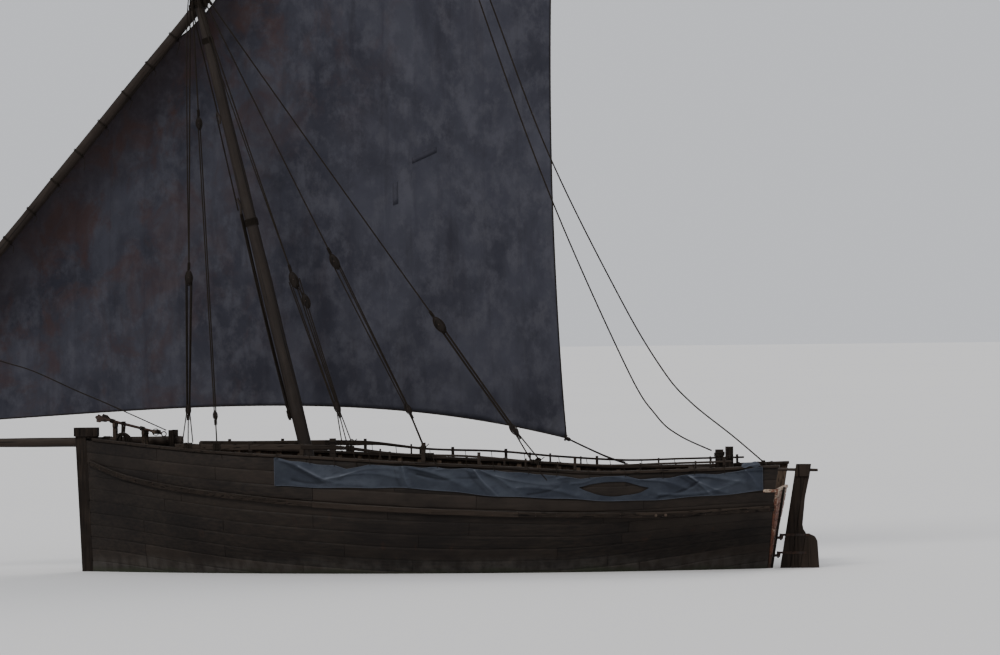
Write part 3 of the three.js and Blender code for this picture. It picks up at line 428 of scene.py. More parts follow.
class Look:
    """Builds one material's nodes, starting from the object's own coordinates."""

    def __init__(self, name, turn=(0, 0, 0)):
        self.material = bpy.data.materials.new(name)
        self.material.use_nodes = True
        self.tree = self.material.node_tree
        self.shader = self.tree.nodes["Principled BSDF"]
        self.coordinates = self.node("ShaderNodeTexCoord").outputs["Object"]
        if any(turn):
            mapping = self.node("ShaderNodeMapping")
            mapping.inputs["Rotation"].default_value = turn
            self.link(self.coordinates, mapping.inputs["Vector"])
            self.coordinates = mapping.outputs["Vector"]
        self.normal = None

    def node(self, kind, **settings):
        made = self.tree.nodes.new(kind)
        for key, value in settings.items():
            setattr(made, key, value)
        return made

    def link(self, output, socket):
        self.tree.links.new(output, socket)

    def put(self, value, socket):
        """Links a socket, or sets a plain number or colour."""
        if isinstance(value, bpy.types.NodeSocket):
            self.link(value, socket)
        elif isinstance(value, (tuple, list)) and len(value) == 3 and socket.type == "RGBA":
            socket.default_value = (*value, 1)
        else:
            socket.default_value = value

    def stretched(self, stretch, shift=(0, 0, 0)):
        mapping = self.node("ShaderNodeMapping")
        mapping.inputs["Scale"].default_value = stretch
        mapping.inputs["Location"].default_value = shift
        self.link(self.coordinates, mapping.inputs["Vector"])
        return mapping.outputs["Vector"]

    def noise(self, scale, stretch=(1, 1, 1), *, detail, rough=0.55, warp=0.0, shift=(0, 0, 0)):
        made = self.node("ShaderNodeTexNoise")
        made.inputs["Scale"].default_value = scale
        made.inputs["Detail"].default_value = detail
        made.inputs["Roughness"].default_value = rough
        made.inputs["Distortion"].default_value = warp
        self.link(self.stretched(stretch, shift), made.inputs["Vector"])
        return made.outputs["Fac"]

    def range(self, value, low, high, to_low=0.0, to_high=1.0):
        made = self.node("ShaderNodeMapRange", interpolation_type="SMOOTHSTEP")
        self.put(value, made.inputs["Value"])
        for name, number in (("From Min", low), ("From Max", high), ("To Min", to_low), ("To Max", to_high)):
            made.inputs[name].default_value = number
        return made.outputs["Result"]

    def math(self, operation, a, b):
        made = self.node("ShaderNodeMath", operation=operation)
        self.put(a, made.inputs[0])
        self.put(b, made.inputs[1])
        return made.outputs[0]

    def times(self, a, b):
        return self.math("MULTIPLY", a, b)

    def mix(self, factor, a, b):
        made = self.node("ShaderNodeMix", data_type="RGBA")
        self.put(factor, made.inputs["Factor"])
        self.put(a, made.inputs["A"])
        self.put(b, made.inputs["B"])
        return made.outputs["Result"]

    def coat(self, colour, mask, low, high, most, tint):
        """Lays a tint over a colour: not at all where the mask is low, up to a share of most where high."""
        return self.mix(self.range(mask, low, high, 0.0, most), colour, tint)

    def tone(self):
        return self.node("ShaderNodeAttribute", attribute_name="tone").outputs["Fac"]

    def along(self, axis):
        """The dot product of the coordinates with a direction."""
        made = self.node("ShaderNodeVectorMath", operation="DOT_PRODUCT")
        self.link(self.coordinates, made.inputs[0])
        made.inputs[1].default_value = axis
        return made.outputs["Value"]

    def facing_up(self):
        """1 on faces that look up, 0 on faces that look sideways or down."""
        split = self.node("ShaderNodeSeparateXYZ")
        self.link(self.node("ShaderNodeNewGeometry").outputs["Normal"], split.inputs[0])
        return self.range(split.outputs["Z"], 0.15, 0.9)

    def bump(self, height, distance, strength):
        made = self.node("ShaderNodeBump")
        made.inputs["Distance"].default_value = distance
        made.inputs["Strength"].default_value = strength
        self.put(height, made.inputs["Height"])
        if self.normal is not None:
            self.link(self.normal, made.inputs["Normal"])
        self.normal = made.outputs["Normal"]

    def finish(self, colour, roughness, metallic=0.0, specular=0.4):
        self.put(colour, self.shader.inputs["Base Color"])
        self.put(roughness, self.shader.inputs["Roughness"])
        self.put(metallic, self.shader.inputs["Metallic"])
        self.shader.inputs["Specular IOR Level"].default_value = specular
        if self.normal is not None:
            self.link(self.normal, self.shader.inputs["Normal"])
        return self.material


# Stretch of a texture whose grain runs along X, Y or Z
ALONG_X, ALONG_Y, ALONG_Z = (0.07, 1, 1), (1, 0.07, 1), (1, 1, 0.07)
# The same for the long checks, against the grain's own stretch: along it and across it
CHECK_ALONG, CHECK_ACROSS = 0.35, 1.6


def wood(name, dark, light, grain=ALONG_X, bleach=0.35, oil=0.0, turn=(0, 0, 0), grey=(0.07, 0.063, 0.056)):
    """Weathered timber: fibres and checks along the grain, sun-bleached upper faces, dirt in patches."""
    look = Look(name, turn)
    fibre = look.noise(26, grain, detail=8, rough=0.65)
    fine = look.noise(90, grain, detail=6, rough=0.7)
    broad = look.noise(1.1, detail=4, rough=0.6)
    patches = look.noise(4.5, detail=6, rough=0.65)
    long_grain = [g * (CHECK_ALONG if g < 1 else CHECK_ACROSS) for g in grain]
    check = look.noise(17, long_grain, detail=3, rough=0.4, shift=(3, 5, 7))
    split = look.range(check, 0.61, 0.66)
    colour = look.mix(look.range(fibre, 0.3, 0.7), dark, light)
    colour = look.coat(colour, broad, 0.38, 0.66, 0.55, dark)
    colour = look.coat(colour, look.tone(), 0.0, 1.0, 0.6, [c * 1.7 for c in light])
    worn = look.times(look.facing_up(), look.range(patches, 0.3, 0.62, 0.2, 1.0))
    colour = look.mix(look.times(worn, bleach), colour, grey)
    colour = look.mix(look.times(split, 0.75), colour, [c * 0.3 for c in dark])
    look.bump(fibre, 0.004, 0.6)
    look.bump(fine, 0.0012, 0.5)
    look.bump(look.times(split, -1), 0.006, 0.8)
    rough = look.range(patches, 0.3, 0.7, 0.8 - oil, 0.95 - oil)
    return look.finish(colour, rough, specular=0.12 + oil)


def turn_to(direction):
    """The rotation that brings a direction on to X, for grain along a leaning spar."""
    return Vector(unit(direction)).rotation_difference(Vector((1, 0, 0))).to_euler()


def hull_look():
    """Oiled, tarry planking: darker strakes, rust weeps, a salt and weed band and a chalky bottom coat."""
    look = Look("oiled_planks")
    fibre = look.noise(22, ALONG_X, detail=8, rough=0.65)
    fine = look.noise(110, ALONG_X, detail=5, rough=0.7)
    broad = look.noise(0.7, (1, 1, 1.6), detail=5, rough=0.6)
    weeps = look.noise(5.5, (1, 1, 0.12), detail=6, rough=0.6, shift=(2, 1, 4))
    height = look.along((0, 0, 1))
    colour = look.mix(look.range(fibre, 0.3, 0.72), (0.006, 0.0047, 0.0041), (0.019, 0.0138, 0.0107))
    colour = look.coat(colour, look.tone(), 0.0, 1.0, 0.7, (0.027, 0.0197, 0.015))
    colour = look.coat(colour, broad, 0.42, 0.68, 0.5, (0.007, 0.0062, 0.0065))
    colour = look.coat(colour, weeps, 0.62, 0.8, 0.45, (0.045, 0.019, 0.01))
    uneven = look.math("ADD", height, look.range(broad, 0.2, 0.8, -0.09, 0.09))
    salt = look.times(look.range(uneven, 0.42, 0.1), look.range(weeps, 0.35, 0.65, 0.25, 1))
    colour = look.mix(look.times(salt, 0.3), colour, (0.095, 0.088, 0.08))
    weed = look.range(uneven, 0.12, -0.02)
    colour = look.mix(look.times(weed, 0.8), colour, (0.02, 0.025, 0.014))
    chalk = look.times(look.range(uneven, -0.12, -0.25), look.range(fibre, 0.25, 0.5, 0.55, 1))
    colour = look.mix(chalk, colour, (0.36, 0.33, 0.28))
    look.bump(fibre, 0.005, 0.6)
    look.bump(fine, 0.0012, 0.5)
    look.bump(broad, 0.01, 0.35)
    rough = look.range(broad, 0.3, 0.7, 0.55, 0.82)
    return look.finish(colour, rough, specular=0.16)


def transom_look():
    """Red-brown boards, their paint worn back to bare wood along the top and the edges."""
    look = Look("transom_boards")
    fibre = look.noise(24, ALONG_Y, detail=8, rough=0.65)
    patches = look.noise(6, (1, 0.5, 1.2), detail=7, rough=0.66)
    streaks = look.noise(8, (1, 1, 0.14), detail=5, shift=(4, 0, 0))
    height = look.along((0, 0, 1))
    red = look.mix(look.range(fibre, 0.3, 0.7), (0.06, 0.021, 0.013), (0.16, 0.062, 0.036))
    bare = look.mix(look.range(fibre, 0.35, 0.7), (0.2, 0.15, 0.11), (0.42, 0.34, 0.26))
    near_top = look.range(height, 1.2, 1.66, 0.3, 1.15)
    worn = look.range(look.math("ADD", patches, look.times(near_top, 0.16)), 0.62, 0.71)
    colour = look.mix(worn, red, bare)
    colour = look.coat(colour, streaks, 0.52, 0.72, 0.6, (0.025, 0.016, 0.012))
    colour = look.coat(colour, height, 0.5, 0.02, 0.75, (0.02, 0.018, 0.014))
    look.bump(fibre, 0.004, 0.6)
    look.bump(worn, 0.0015, -0.6)
    return look.finish(colour, look.range(patches, 0.3, 0.7, 0.7, 0.92), specular=0.3)


def rope_look(name, dark, light):
    """Coir and manila: hairy fibres and dirt along the lay."""
    look = Look(name)
    hair = look.noise(160, detail=6, rough=0.7)
    dirt = look.noise(2.6, detail=5, rough=0.6)
    colour = look.mix(look.range(hair, 0.3, 0.7), dark, light)
    colour = look.coat(colour, dirt, 0.4, 0.62, 0.65, dark)
    colour = look.coat(colour, look.tone(), 0, 1, 0.6, [c * 1.6 for c in light])
    look.bump(hair, 0.003, 0.8)
    return look.finish(colour, 0.95, specular=0.15)


def iron_look():
    look = Look("rusty_iron")
    crust = look.noise(38, detail=8, rough=0.7)
    broad = look.noise(7, detail=4)
    colour = look.mix(look.range(crust, 0.35, 0.65), (0.014, 0.0095, 0.008), (0.05, 0.022, 0.012))
    colour = look.coat(colour, broad, 0.4, 0.65, 0.6, (0.035, 0.03, 0.028))
    look.bump(crust, 0.003, 0.9)
    metal = look.range(crust, 0.4, 0.6, 0.55, 0.1)
    return look.finish(colour, look.range(crust, 0.3, 0.7, 0.6, 0.92), metallic=metal)


WEAVE_SCALE = 21


def weave(look):
    """The fine crossed threads of canvas, as bump only."""
    threads = []
    for axis in ("X", "Z"):
        wave = look.node("ShaderNodeTexWave", bands_direction=axis)
        wave.inputs["Scale"].default_value = WEAVE_SCALE
        wave.inputs["Distortion"].default_value = 0.4
        look.link(look.stretched((1, 1, 1)), wave.inputs["Vector"])
        threads.append(wave.outputs["Fac"])
    look.bump(look.math("ADD", *threads), 0.0012, 0.25)


def sail_look():
    """Old canvas: slate and violet greys, brown stains and painted shade under the yard, vertical streaks,
    paler patches.
    """
    look = Look("stained_sailcloth")
    clouds = look.noise(0.55, (1, 1, 0.8), detail=7, rough=0.62, warp=0.4)
    mottle = look.noise(2.6, (1, 1, 0.7), detail=8, rough=0.68)
    streaks = look.noise(2.2, (1, 1, 0.09), detail=6, rough=0.6, shift=(5, 0, 2))
    speckle = look.noise(34, detail=6, rough=0.7)
    rust = look.noise(1.15, (1, 1, 0.75), detail=8, rough=0.7, warp=0.6, shift=(8, 3, 1))
    colour = look.mix(look.range(clouds, 0.34, 0.66), (0.026, 0.0265, 0.036), (0.047, 0.048, 0.062))
    colour = look.coat(colour, mottle, 0.42, 0.66, 0.7, (0.066, 0.066, 0.08))
    colour = look.coat(colour, streaks, 0.52, 0.68, 0.4, (0.021, 0.02, 0.027))
    below = look.math("SUBTRACT", look.along(tuple(YARD_DOWN)), float(YARD_TACK @ YARD_DOWN))
    under_yard = look.range(below, 5.2, 0.1)
    toward_bow = look.range(look.along((1, 0, 0)), 1.0, 7.5)
    high, fore = look.times(under_yard, 0.9), look.times(toward_bow, 0.55)
    where = look.math("MAXIMUM", high, fore)
    stain = look.times(look.range(rust, 0.46, 0.66), where)
    colour = look.mix(look.times(stain, 0.85), colour, (0.052, 0.028, 0.024))
    # Painted shade under the yard: darker and browner within 1.5 m below it, darkest right under the spar.
    colour = look.coat(colour, below, 1.5, 0.0, 0.6, (0.024, 0.0145, 0.0125))
    colour = look.coat(colour, look.tone(), 0.5, 1.0, 0.55, (0.1, 0.1, 0.112))
    colour = look.coat(colour, look.tone(), 0.5, 0.0, 0.6, (0.018, 0.016, 0.021))
    colour = look.coat(colour, speckle, 0.6, 0.75, 0.3, (0.085, 0.083, 0.09))
    look.bump(mottle, 0.006, 0.35)
    look.bump(speckle, 0.0015, 0.4)
    weave(look)
    return look.finish(colour, look.range(mottle, 0.3, 0.7, 0.82, 0.96), specular=0.12)


def weather_cloth_look():
    """Faded blue-grey canvas with salt and dirt; a high tone lays painted highlights on it and a low tone
    painted shade.
    """
    look = Look("faded_weather_cloth")
    clouds = look.noise(1.6, (1, 1, 1.4), detail=7, rough=0.62)
    dirt = look.noise(5, (0.6, 1, 1.6), detail=8, rough=0.7, shift=(2, 7, 1))
    speckle = look.noise(46, detail=5, rough=0.7)
    colour = look.mix(look.range(clouds, 0.34, 0.66), (0.029, 0.034, 0.046), (0.046, 0.053, 0.067))
    colour = look.coat(colour, dirt, 0.5, 0.7, 0.45, (0.021, 0.022, 0.03))
    colour = look.coat(colour, dirt, 0.36, 0.26, 0.3, (0.062, 0.067, 0.08))
    # Painted highlight where the tone is high (fold ridges, hems, the bunched roll), painted shade where it
    # is low (creases and dents); the tone also varies at random.
    colour = look.coat(colour, look.tone(), 0.5, 1.0, 0.85, (0.105, 0.115, 0.137))
    colour = look.coat(colour, look.tone(), 0.5, 0.0, 0.9, (0.012, 0.0135, 0.018))
    look.bump(speckle, 0.001, 0.4)
    weave(look)
    return look.finish(colour, 0.9, specular=0.12)


LOOKS = {
    "hull": hull_look(),
    "transom": transom_look(),
    "timber": wood(
        "weathered_timber", (0.0068, 0.0052, 0.0044), (0.023, 0.017, 0.013), grey=(0.066, 0.06, 0.054),
    ),
    "beam": wood(
        "beam_timber", (0.02, 0.0145, 0.011), (0.066, 0.048, 0.035), ALONG_Y, grey=(0.13, 0.118, 0.105),
    ),
    "post": wood(
        "post_timber", (0.0075, 0.0057, 0.0048), (0.026, 0.019, 0.0145), ALONG_Z, grey=(0.075, 0.068, 0.061),
    ),
    "frames": wood("frame_timber", (0.022, 0.0155, 0.0115), (0.07, 0.05, 0.036), ALONG_Z, bleach=0.2),
    "deck": wood(
        "scrubbed_deck", (0.05, 0.038, 0.028), (0.14, 0.108, 0.08), bleach=0.55, grey=(0.22, 0.2, 0.175),
    ),
    "mast": wood(
        "mast_timber", (0.006, 0.0045, 0.0038), (0.02, 0.0145, 0.0115), bleach=0.12, oil=0.12,
        turn=turn_to(MAST_LINE),
    ),
    "yard": wood(
        "yard_timber", (0.006, 0.0043, 0.0036), (0.021, 0.0145, 0.011), bleach=0.12, oil=0.08,
        turn=turn_to(YARD_ALONG),
    ),
    "spar": wood(
        "spar_timber", (0.0085, 0.0062, 0.0052), (0.03, 0.021, 0.016), bleach=0.25, oil=0.08,
        grey=(0.1, 0.09, 0.08),
    ),
    "rope": rope_look("tarred_rope", (0.0062, 0.0048, 0.0038), (0.019, 0.0145, 0.0108)),
    "block": wood("block_wood", (0.0042, 0.0032, 0.0028), (0.012, 0.0085, 0.0066), ALONG_Z, oil=0.03),
    "iron": iron_look(),
    "sail": sail_look(),
    "cloth": weather_cloth_look(),
}

# Planking

STRAKES = 15
HULL_STATIONS = 112
SEAM_DEPTH = 0.009
BUTT_SLOPE = 0.04
PLANK_LENGTHS = ["quarter", "waist", "shoulder", "bow"]
SIDES = {"port": 1, "starboard": -1}
# Across one strake: how proud each point stands, and its place as a share of the width
STRAKE_PROUD = np.array([
    -SEAM_DEPTH, 0.0005, 0.002, 0.0025, 0.003, 0.003, 0.003, 0.0025, 0.002, 0.0005, -SEAM_DEPTH,
])
STRAKE_PLACES = np.array([0, 0.05, 0.18, 0.3, 0.4, 0.5, 0.6, 0.7, 0.82, 0.95, 1.0])
STRAKE_STEPS = len(STRAKE_PLACES) - 1
# Butts, counted in stations: the first one's range, the spacing and the last one's distance from the end
FIRST_BUTT, FIRST_BUTT_RANGE = 14, 24
BUTT_SPACING, BUTT_RANGE, LAST_BUTT = 30, 5, 8


def section_heights(us, shares):
    """The height on the hull at each share of the girth, from the keel to the bulwark's top."""
    heights = np.empty((len(us), len(shares)))
    for i, u in enumerate(us):
        top = 2.3
        for _ in range(6):
            top = float(bulwark_top(hull_x(u, top)))
        z = KEEL_TOP_Z + (top - KEEL_TOP_Z) * np.linspace(0, 1, 90) ** 1.6
        y = half_breadth(u, z)
        girth = np.r_[0, np.cumsum(np.hypot(np.diff(y), np.diff(z)))]
        heights[i] = np.interp(shares * girth[-1], girth, z)
    return heights


def hull_surface(us, shares, side):
    """Points of the outer face and its outward normals, for stations and shares of the girth."""
    z = section_heights(us, shares)
    u = np.broadcast_to(us[:, None], z.shape)
    points = np.stack([hull_x(u, z), half_breadth(u, z), z], -1)
    along = np.gradient(points, axis=0)
    around = np.gradient(points, axis=1)
    normals = np.cross(around, along)
    normals /= np.linalg.norm(normals, axis=-1)[..., None] + 1e-12
    normals *= np.sign(normals[..., 1:2] + 1e-9)
    flip = np.array([1, side, 1])
    return points * flip, normals * flip


def strake_face(face):
    """The points of one strake, drawn together toward its seams."""
    even = np.linspace(0, 1, STRAKE_STEPS + 1)
    rows = [[np.interp(STRAKE_PLACES, even, row[:, c]) for c in range(3)] for row in face]
    return np.stack(rows).transpose(0, 2, 1)


def board_between(outer, normal, a, b):
    """One board of a strake from station a to b, sunk at both ends to show its butts."""
    board = outer[a : b + 1].copy()
    for end, sign, station in ((0, 1, a), (-1, -1, b)):
        inward = board[end + sign] - board[end]
        board[end] = board[end] - normal[station] * SEAM_DEPTH
        lip = board[end] + normal[station] * SEAM_DEPTH + inward * BUTT_SLOPE
        board = np.insert(board, 1 if end == 0 else len(board) - 1, lip, axis=0)
    return board


def planking():
    """Strakes with seams and butts outside, and their smooth inner faces between the frames."""
    rng = random.Random(5)
    fine = np.linspace(0, 1, STRAKES * STRAKE_STEPS + 1)
    us = np.linspace(TRANSOM_SHARE, 1, HULL_STATIONS)
    edge = np.ones(STRAKE_STEPS + 1)
    edge[[0, -1]] = 0
    for side_name, side in SIDES.items():
        points, normals = hull_surface(us, fine, side)
        shape = Shape()
        for k in range(STRAKES):
            columns = slice(k * STRAKE_STEPS, (k + 1) * STRAKE_STEPS + 1)
            face, normal = strake_face(points[:, columns]), normals[:, columns]
            uneven = jitter(face, 0.0035, 2.4, k) + jitter(face, 0.0015, 9, k + 50)
            outer = face + normal * (STRAKE_PROUD + uneven * edge)[..., None]
            first = FIRST_BUTT + rng.randrange(FIRST_BUTT_RANGE)
            spacing = BUTT_SPACING + rng.randrange(-BUTT_RANGE, BUTT_RANGE + 1)
            cuts = [0, *range(first, HULL_STATIONS - LAST_BUTT, spacing), HULL_STATIONS - 1]
            for a, b in zip(cuts, cuts[1:]):
                shape.grid(board_between(outer, normal, a, b), tone=0.15 + 0.7 * rng.random() ** 1.6)
        inside = Shape()
        inside.grid((points - normals * PLANK)[::2, ::5], tone=0.3)
        inside.build("planking_inside_" + side_name, "frames", slot="planking", outward=False)
        rim = np.stack([points[:, -1], points[:, -1] - normals[:, -1] * PLANK], 1)
        shape.grid(rim, tone=0.3)
        nodes = [f"planking_{side_name}_{part}" for part in PLANK_LENGTHS]
        shape.build("strakes_" + side_name, "hull", replaces=nodes, outward=False)


FRAME_AFT_X, FRAME_FORE_X, FRAME_SPACING = -6.75, 6.6, 0.43
FRAME_WIDTH, FRAME_UNEVEN = 0.095, 0.012
STRINGER_FEET = (-0.35, 0.25, 0.85)
STRINGER_RISE = 0.018
STRINGER_SIZE = (0.035, 0.16)


def frames_inside():
    """Sawn frames from the keel to the gunwale, and stringers along them."""
    shape = Shape()
    rng = random.Random(8)
    deep = WALL - PLANK
    for x in np.arange(FRAME_AFT_X, FRAME_FORE_X, FRAME_SPACING):
        for side in SIDES.values():
            z = np.linspace(KEEL_TOP_Z + 0.1, float(bulwark_top(x)) - 0.01, 40)
            y = breadth_at(x, z) - PLANK - deep / 2
            keep = y > 0.03
            if keep.sum() < 4:
                continue
            path = line(x, side * y[keep], z[keep])
            path[:, 0] += jitter(path, 0.006, 3, int(x * 10))
            width = FRAME_WIDTH + rng.uniform(-FRAME_UNEVEN, FRAME_UNEVEN)
            shape.timber(path, deep, width, up=(1, 0, 0), tone=rng.uniform(0.1, 0.6))
    for side in SIDES.values():
        for low in STRINGER_FEET:
            x = np.linspace(-6.2, 6.0, 60)
            z = low + STRINGER_RISE * x**2
            y = breadth_at(x, z) - WALL - 0.012
            keep = (y > 0.16) & (z < bulwark_top(x) - 0.6)
            path = line(x[keep], side * y[keep], z[keep])
            shape.timber(path, *STRINGER_SIZE, tone=rng.uniform(0.2, 0.6))
    shape.build("inner_frames", "frames")


DECK_BOARD, HOLD_BOARD = 0.15, 0.18
DECK_STATIONS = 46
BOARD_THICK, BOARD_GAP, BOARD_EDGE = 0.04, 0.001, 0.006
NARROWEST_BOARD = 0.02
# The decks' ends
FOREDECK = (3.68, 6.84)
AFT_DECK = (-7.29, -3.38)
HOLD = (-5.4, 5.3)
HOLD_FLOOR_Z = -0.57
MARGIN_PLANK = (0.17, 0.045)


def deck_boards(name, node, ends, z_of, board=DECK_BOARD):
    """Deck boards side by side, cut to the inside of the planking."""
    shape = Shape()
    rng = random.Random(len(name))
    xs = np.linspace(*ends, DECK_STATIONS)
    zs = z_of(xs)
    clear = breadth_at(xs, zs) - WALL
    for k in range(-16, 16):
        left, right = np.clip(k * board, -clear, clear), np.clip((k + 1) * board, -clear, clear)
        wide = np.flatnonzero(right - left > NARROWEST_BOARD)
        if len(wide) < 2:
            continue
        run = slice(wide[0], wide[-1] + 1)
        x, z, left, right = xs[run], zs[run], left[run], right[run]
        lip = np.minimum(BOARD_EDGE, (right - left) / 4)
        drop = rng.uniform(-0.002, 0.002)
        z = z + drop + jitter(line(x, left, z), 0.0015, 4, k)
        rows = [
            (left + BOARD_GAP, z - BOARD_THICK), (left + BOARD_GAP, z - BOARD_EDGE), (left + lip, z),
            (right - lip, z), (right - BOARD_GAP, z - BOARD_EDGE), (right - BOARD_GAP, z - BOARD_THICK),
        ]
        points = np.stack([line(x, y, h) for y, h in rows], 1)
        shape.grid(points, tone=rng.uniform(0.0, 0.8), wrap=True, caps=True)
    return shape.build(name, "deck", replaces=[node])


def foredeck_z(x):
    """The foredeck rises by 0.133 m over its length."""
    return 1.97 + (x - 3.68) / 3.16 * 0.133


def aft_deck_z(x):
    """The aft deck falls forward by 0.06 m over its length."""
    return 1.4 - (x + 7.3) / 3.92 * 0.06


def decks():
    deck_boards("foredeck_boards", "foredeck", FOREDECK, foredeck_z)
    deck_boards("aft_deck_boards", "aft_deck", AFT_DECK, aft_deck_z)
    deck_boards("hold_boards", "hold_floor", HOLD, lambda x: np.full_like(x, HOLD_FLOOR_Z), HOLD_BOARD)
    shape = Shape()
    for x0, x1, z_of in ((3.72, 6.6, foredeck_z), (-7.2, -3.42, aft_deck_z)):
        for side in SIDES.values():
            x = np.linspace(x0, x1, 30)
            z = z_of(x) + 0.008
            y = breadth_at(x, z) - PLANK - MARGIN_PLANK[0] / 2
            shape.timber(line(x, side * y, z), *MARGIN_PLANK, tone=0.3)
    shape.build("margin_planks", "deck")


# Camera, floor and light

CAMERA_TURN = math.radians(8)
CAMERA_DISTANCE = 100
CAMERA_HEIGHT = 4.73
CAMERA_LENS = 171.25
# The lens's length in the picture's pixels, and how far the picture's middle is aft of and above the aim
LENS_PIXELS, PIXELS_AFT, PIXELS_UP = 4757, 70, 16.2
CAMERA_YAW = math.atan(PIXELS_AFT / LENS_PIXELS)
CAMERA_PITCH = math.atan(PIXELS_UP / LENS_PIXELS)
CAMERA_ROLL = math.radians(-0.63)
FLOOR_REACH = 6000
# Distances from the hull at which the floor has rows of points
FLOOR_RINGS = (0, 6, 60, FLOOR_REACH)
# Sun lamps: name, azimuth, elevation, power, width in degrees, colour
SUNS = (("key", 28, 38, 1.7, 22, (1, 0.97, 0.93)), ("back", 205, 32, 1.0, 35, (1, 0.95, 0.9)))
SKY_COLOUR, SKY_STRENGTH = (0.93, 0.95, 1.0, 1), 0.75


def add_camera():
    sin, cos = math.sin(CAMERA_TURN), math.cos(CAMERA_TURN)
    place = Vector((-sin * CAMERA_DISTANCE, cos * CAMERA_DISTANCE, CAMERA_HEIGHT))
    ahead, right, up = Vector((sin, -cos, 0)), Vector((-cos, -sin, 0)), Vector((0, 0, 1))
    aim = ahead * math.cos(CAMERA_YAW) + right * math.sin(CAMERA_YAW)
    right = right * math.cos(CAMERA_YAW) - ahead * math.sin(CAMERA_YAW)
    aim, up = (
        aim * math.cos(CAMERA_PITCH) + up * math.sin(CAMERA_PITCH),
        up * math.cos(CAMERA_PITCH) - aim * math.sin(CAMERA_PITCH),
    )
    across = right * math.cos(CAMERA_ROLL) + up * math.sin(CAMERA_ROLL)
    up = up * math.cos(CAMERA_ROLL) - right * math.sin(CAMERA_ROLL)
    data = bpy.data.cameras.new("camera")
    data.sensor_width = 36
    data.lens = CAMERA_LENS
    data.clip_start = 1
    data.clip_end = 2 * FLOOR_REACH
    camera = bpy.data.objects.new("camera", data)
    camera.matrix_world = Matrix([
        [across[k], up[k], -aim[k], place[k]] for k in range(3)
    ] + [[0, 0, 0, 1]])
    bpy.context.collection.objects.link(camera)
    bpy.context.scene.camera = camera


def add_floor():
    """A wide pale floor at the waterline, open where the hull lies in it."""
    u = 0.5 - 0.5 * np.cos(np.linspace(0, math.pi, 60))
    x = hull_x(u, 0.0)
    y = np.maximum(half_breadth(u, 0.0) - 0.03, 0.03)
    x = np.clip(x, x[0] + 0.03, x[-1] - 0.05)
    inner = np.stack([np.r_[x, x[::-1]], np.r_[y, -y[::-1]], np.zeros(2 * len(x))], 1)
    outward = inner / np.linalg.norm(inner, axis=1)[:, None]
    rings = np.stack([inner + outward * reach for reach in FLOOR_RINGS])
    shape = Shape()
    shape.grid(rings, wrap=True)
    look = Look("pale_floor")
    haze = look.noise(0.02, detail=3)
    look.finish(look.mix(haze, (0.66, 0.66, 0.66), (0.7, 0.7, 0.7)), 0.9, specular=0.1)
    mesh = bpy.data.meshes.new("floor")
    mesh.from_pydata(np.concatenate(shape.points).tolist(), [], np.concatenate(shape.quads).tolist())
    mesh.materials.append(look.material)
    floor = bpy.data.objects.new("floor", mesh)
    bpy.context.collection.objects.link(floor)


def add_light():
    world = bpy.data.worlds.new("pale_sky")
    bpy.context.scene.world = world
    world.use_nodes = True
    background = world.node_tree.nodes["Background"]
    background.inputs["Color"].default_value = SKY_COLOUR
    background.inputs["Strength"].default_value = SKY_STRENGTH
    for name, azimuth, elevation, power, spread, colour in SUNS:
        data = bpy.data.lights.new(name, "SUN")
        data.energy = power
        data.angle = math.radians(spread)
        data.color = colour
        light = bpy.data.objects.new(name, data)
        a, e = math.radians(azimuth), math.radians(elevation)
        toward = Vector((math.sin(a) * math.cos(e), math.cos(a) * math.cos(e), math.sin(e)))
        light.rotation_euler = (-toward).to_track_quat("-Z", "Y").to_euler()
        bpy.context.collection.objects.link(light)


# Ropes that reach the hull from the spars: vangs, sheet and bow line

ROPE_R = 0.018


def rope_piece(name, paths, radius=ROPE_R, body="root", around=9, steps=6, replaces=()):
    shape = Shape()
    for path in paths:
        shape.rope(path, radius, around=around, steps=steps)
    return shape.build(name, "rope", body, replaces)


def hitch(centre, axis, radius, rope, turns):
    """Turns of rope laid side by side round a spar or post."""
    climb = 2.05 * rope * turns
    return circle(np.asarray(centre) - unit(axis) * climb / 2, axis, radius + rope, turns, climb)


# Vangs, as in the solids: they start together beside the yard and run down to the port quarter
VANG_START_S = 18.85
VANG_BESIDE = 0.045
VANG_BELOW = 0.03
FORE_VANG = [
    (-1.13, 0.08, 11.94), (-2.64, 0.62, 7.81), (-4.24, 1.08, 4.22),
    (-4.86, 1.21, 3.22), (-5.34, 1.27, 2.8), (-6.15, 1.328, 2.42),
]
AFT_VANG = [
    (-1.36, 0.08, 11.94), (-2.62, 0.51, 8.65), (-4.13, 0.9, 5.61), (-5.0, 1.09, 4.15),
    (-5.58, 1.18, 3.48), (-6.47, 1.27, 2.76), (-7.2, 1.54, 2.15),
]
QUARTER_BITT = (-6.17, 1.33)
BITT_HALF = 0.08
BELAY_Z = 2.37
CLEAT_HALF = 0.15
# Points that the bow line passes on its way down from the yard, and its place along the yard
BOW_LINE = [
    (9.21, 0.1, 4.48), (8.49, 0.17, 4.26), (7.56, 0.29, 3.85), (6.98, 0.36, 3.61), (6.54, 0.42, 3.42),
    (5.63, 0.16, 2.98),
]
BOW_LINE_S = 3.0
SHEET = [
    (-2.65, -1.98, 2.69), (-3.17, -0.7, 2.53), (-3.78, 0.71, 2.35), (-4.2, 1.72, 2.26), (-4.34, 2.06, 2.24),
]


def square_turns(x, y, half, z, radius, turns):
    """Turns of rope laid on top of each other round a square post."""
    reach = half + radius
    corner = reach * 0.9
    loop = [
        (reach, -corner), (reach, corner), (corner, reach), (-corner, reach),
        (-reach, corner), (-reach, -corner), (-corner, -reach), (corner, -reach),
    ]
    points = [
        (x + a, y + b, z + 2 * radius * (turn + k / len(loop)))
        for turn in range(turns) for k, (a, b) in enumerate(loop)
    ]
    return spline(points, 3)


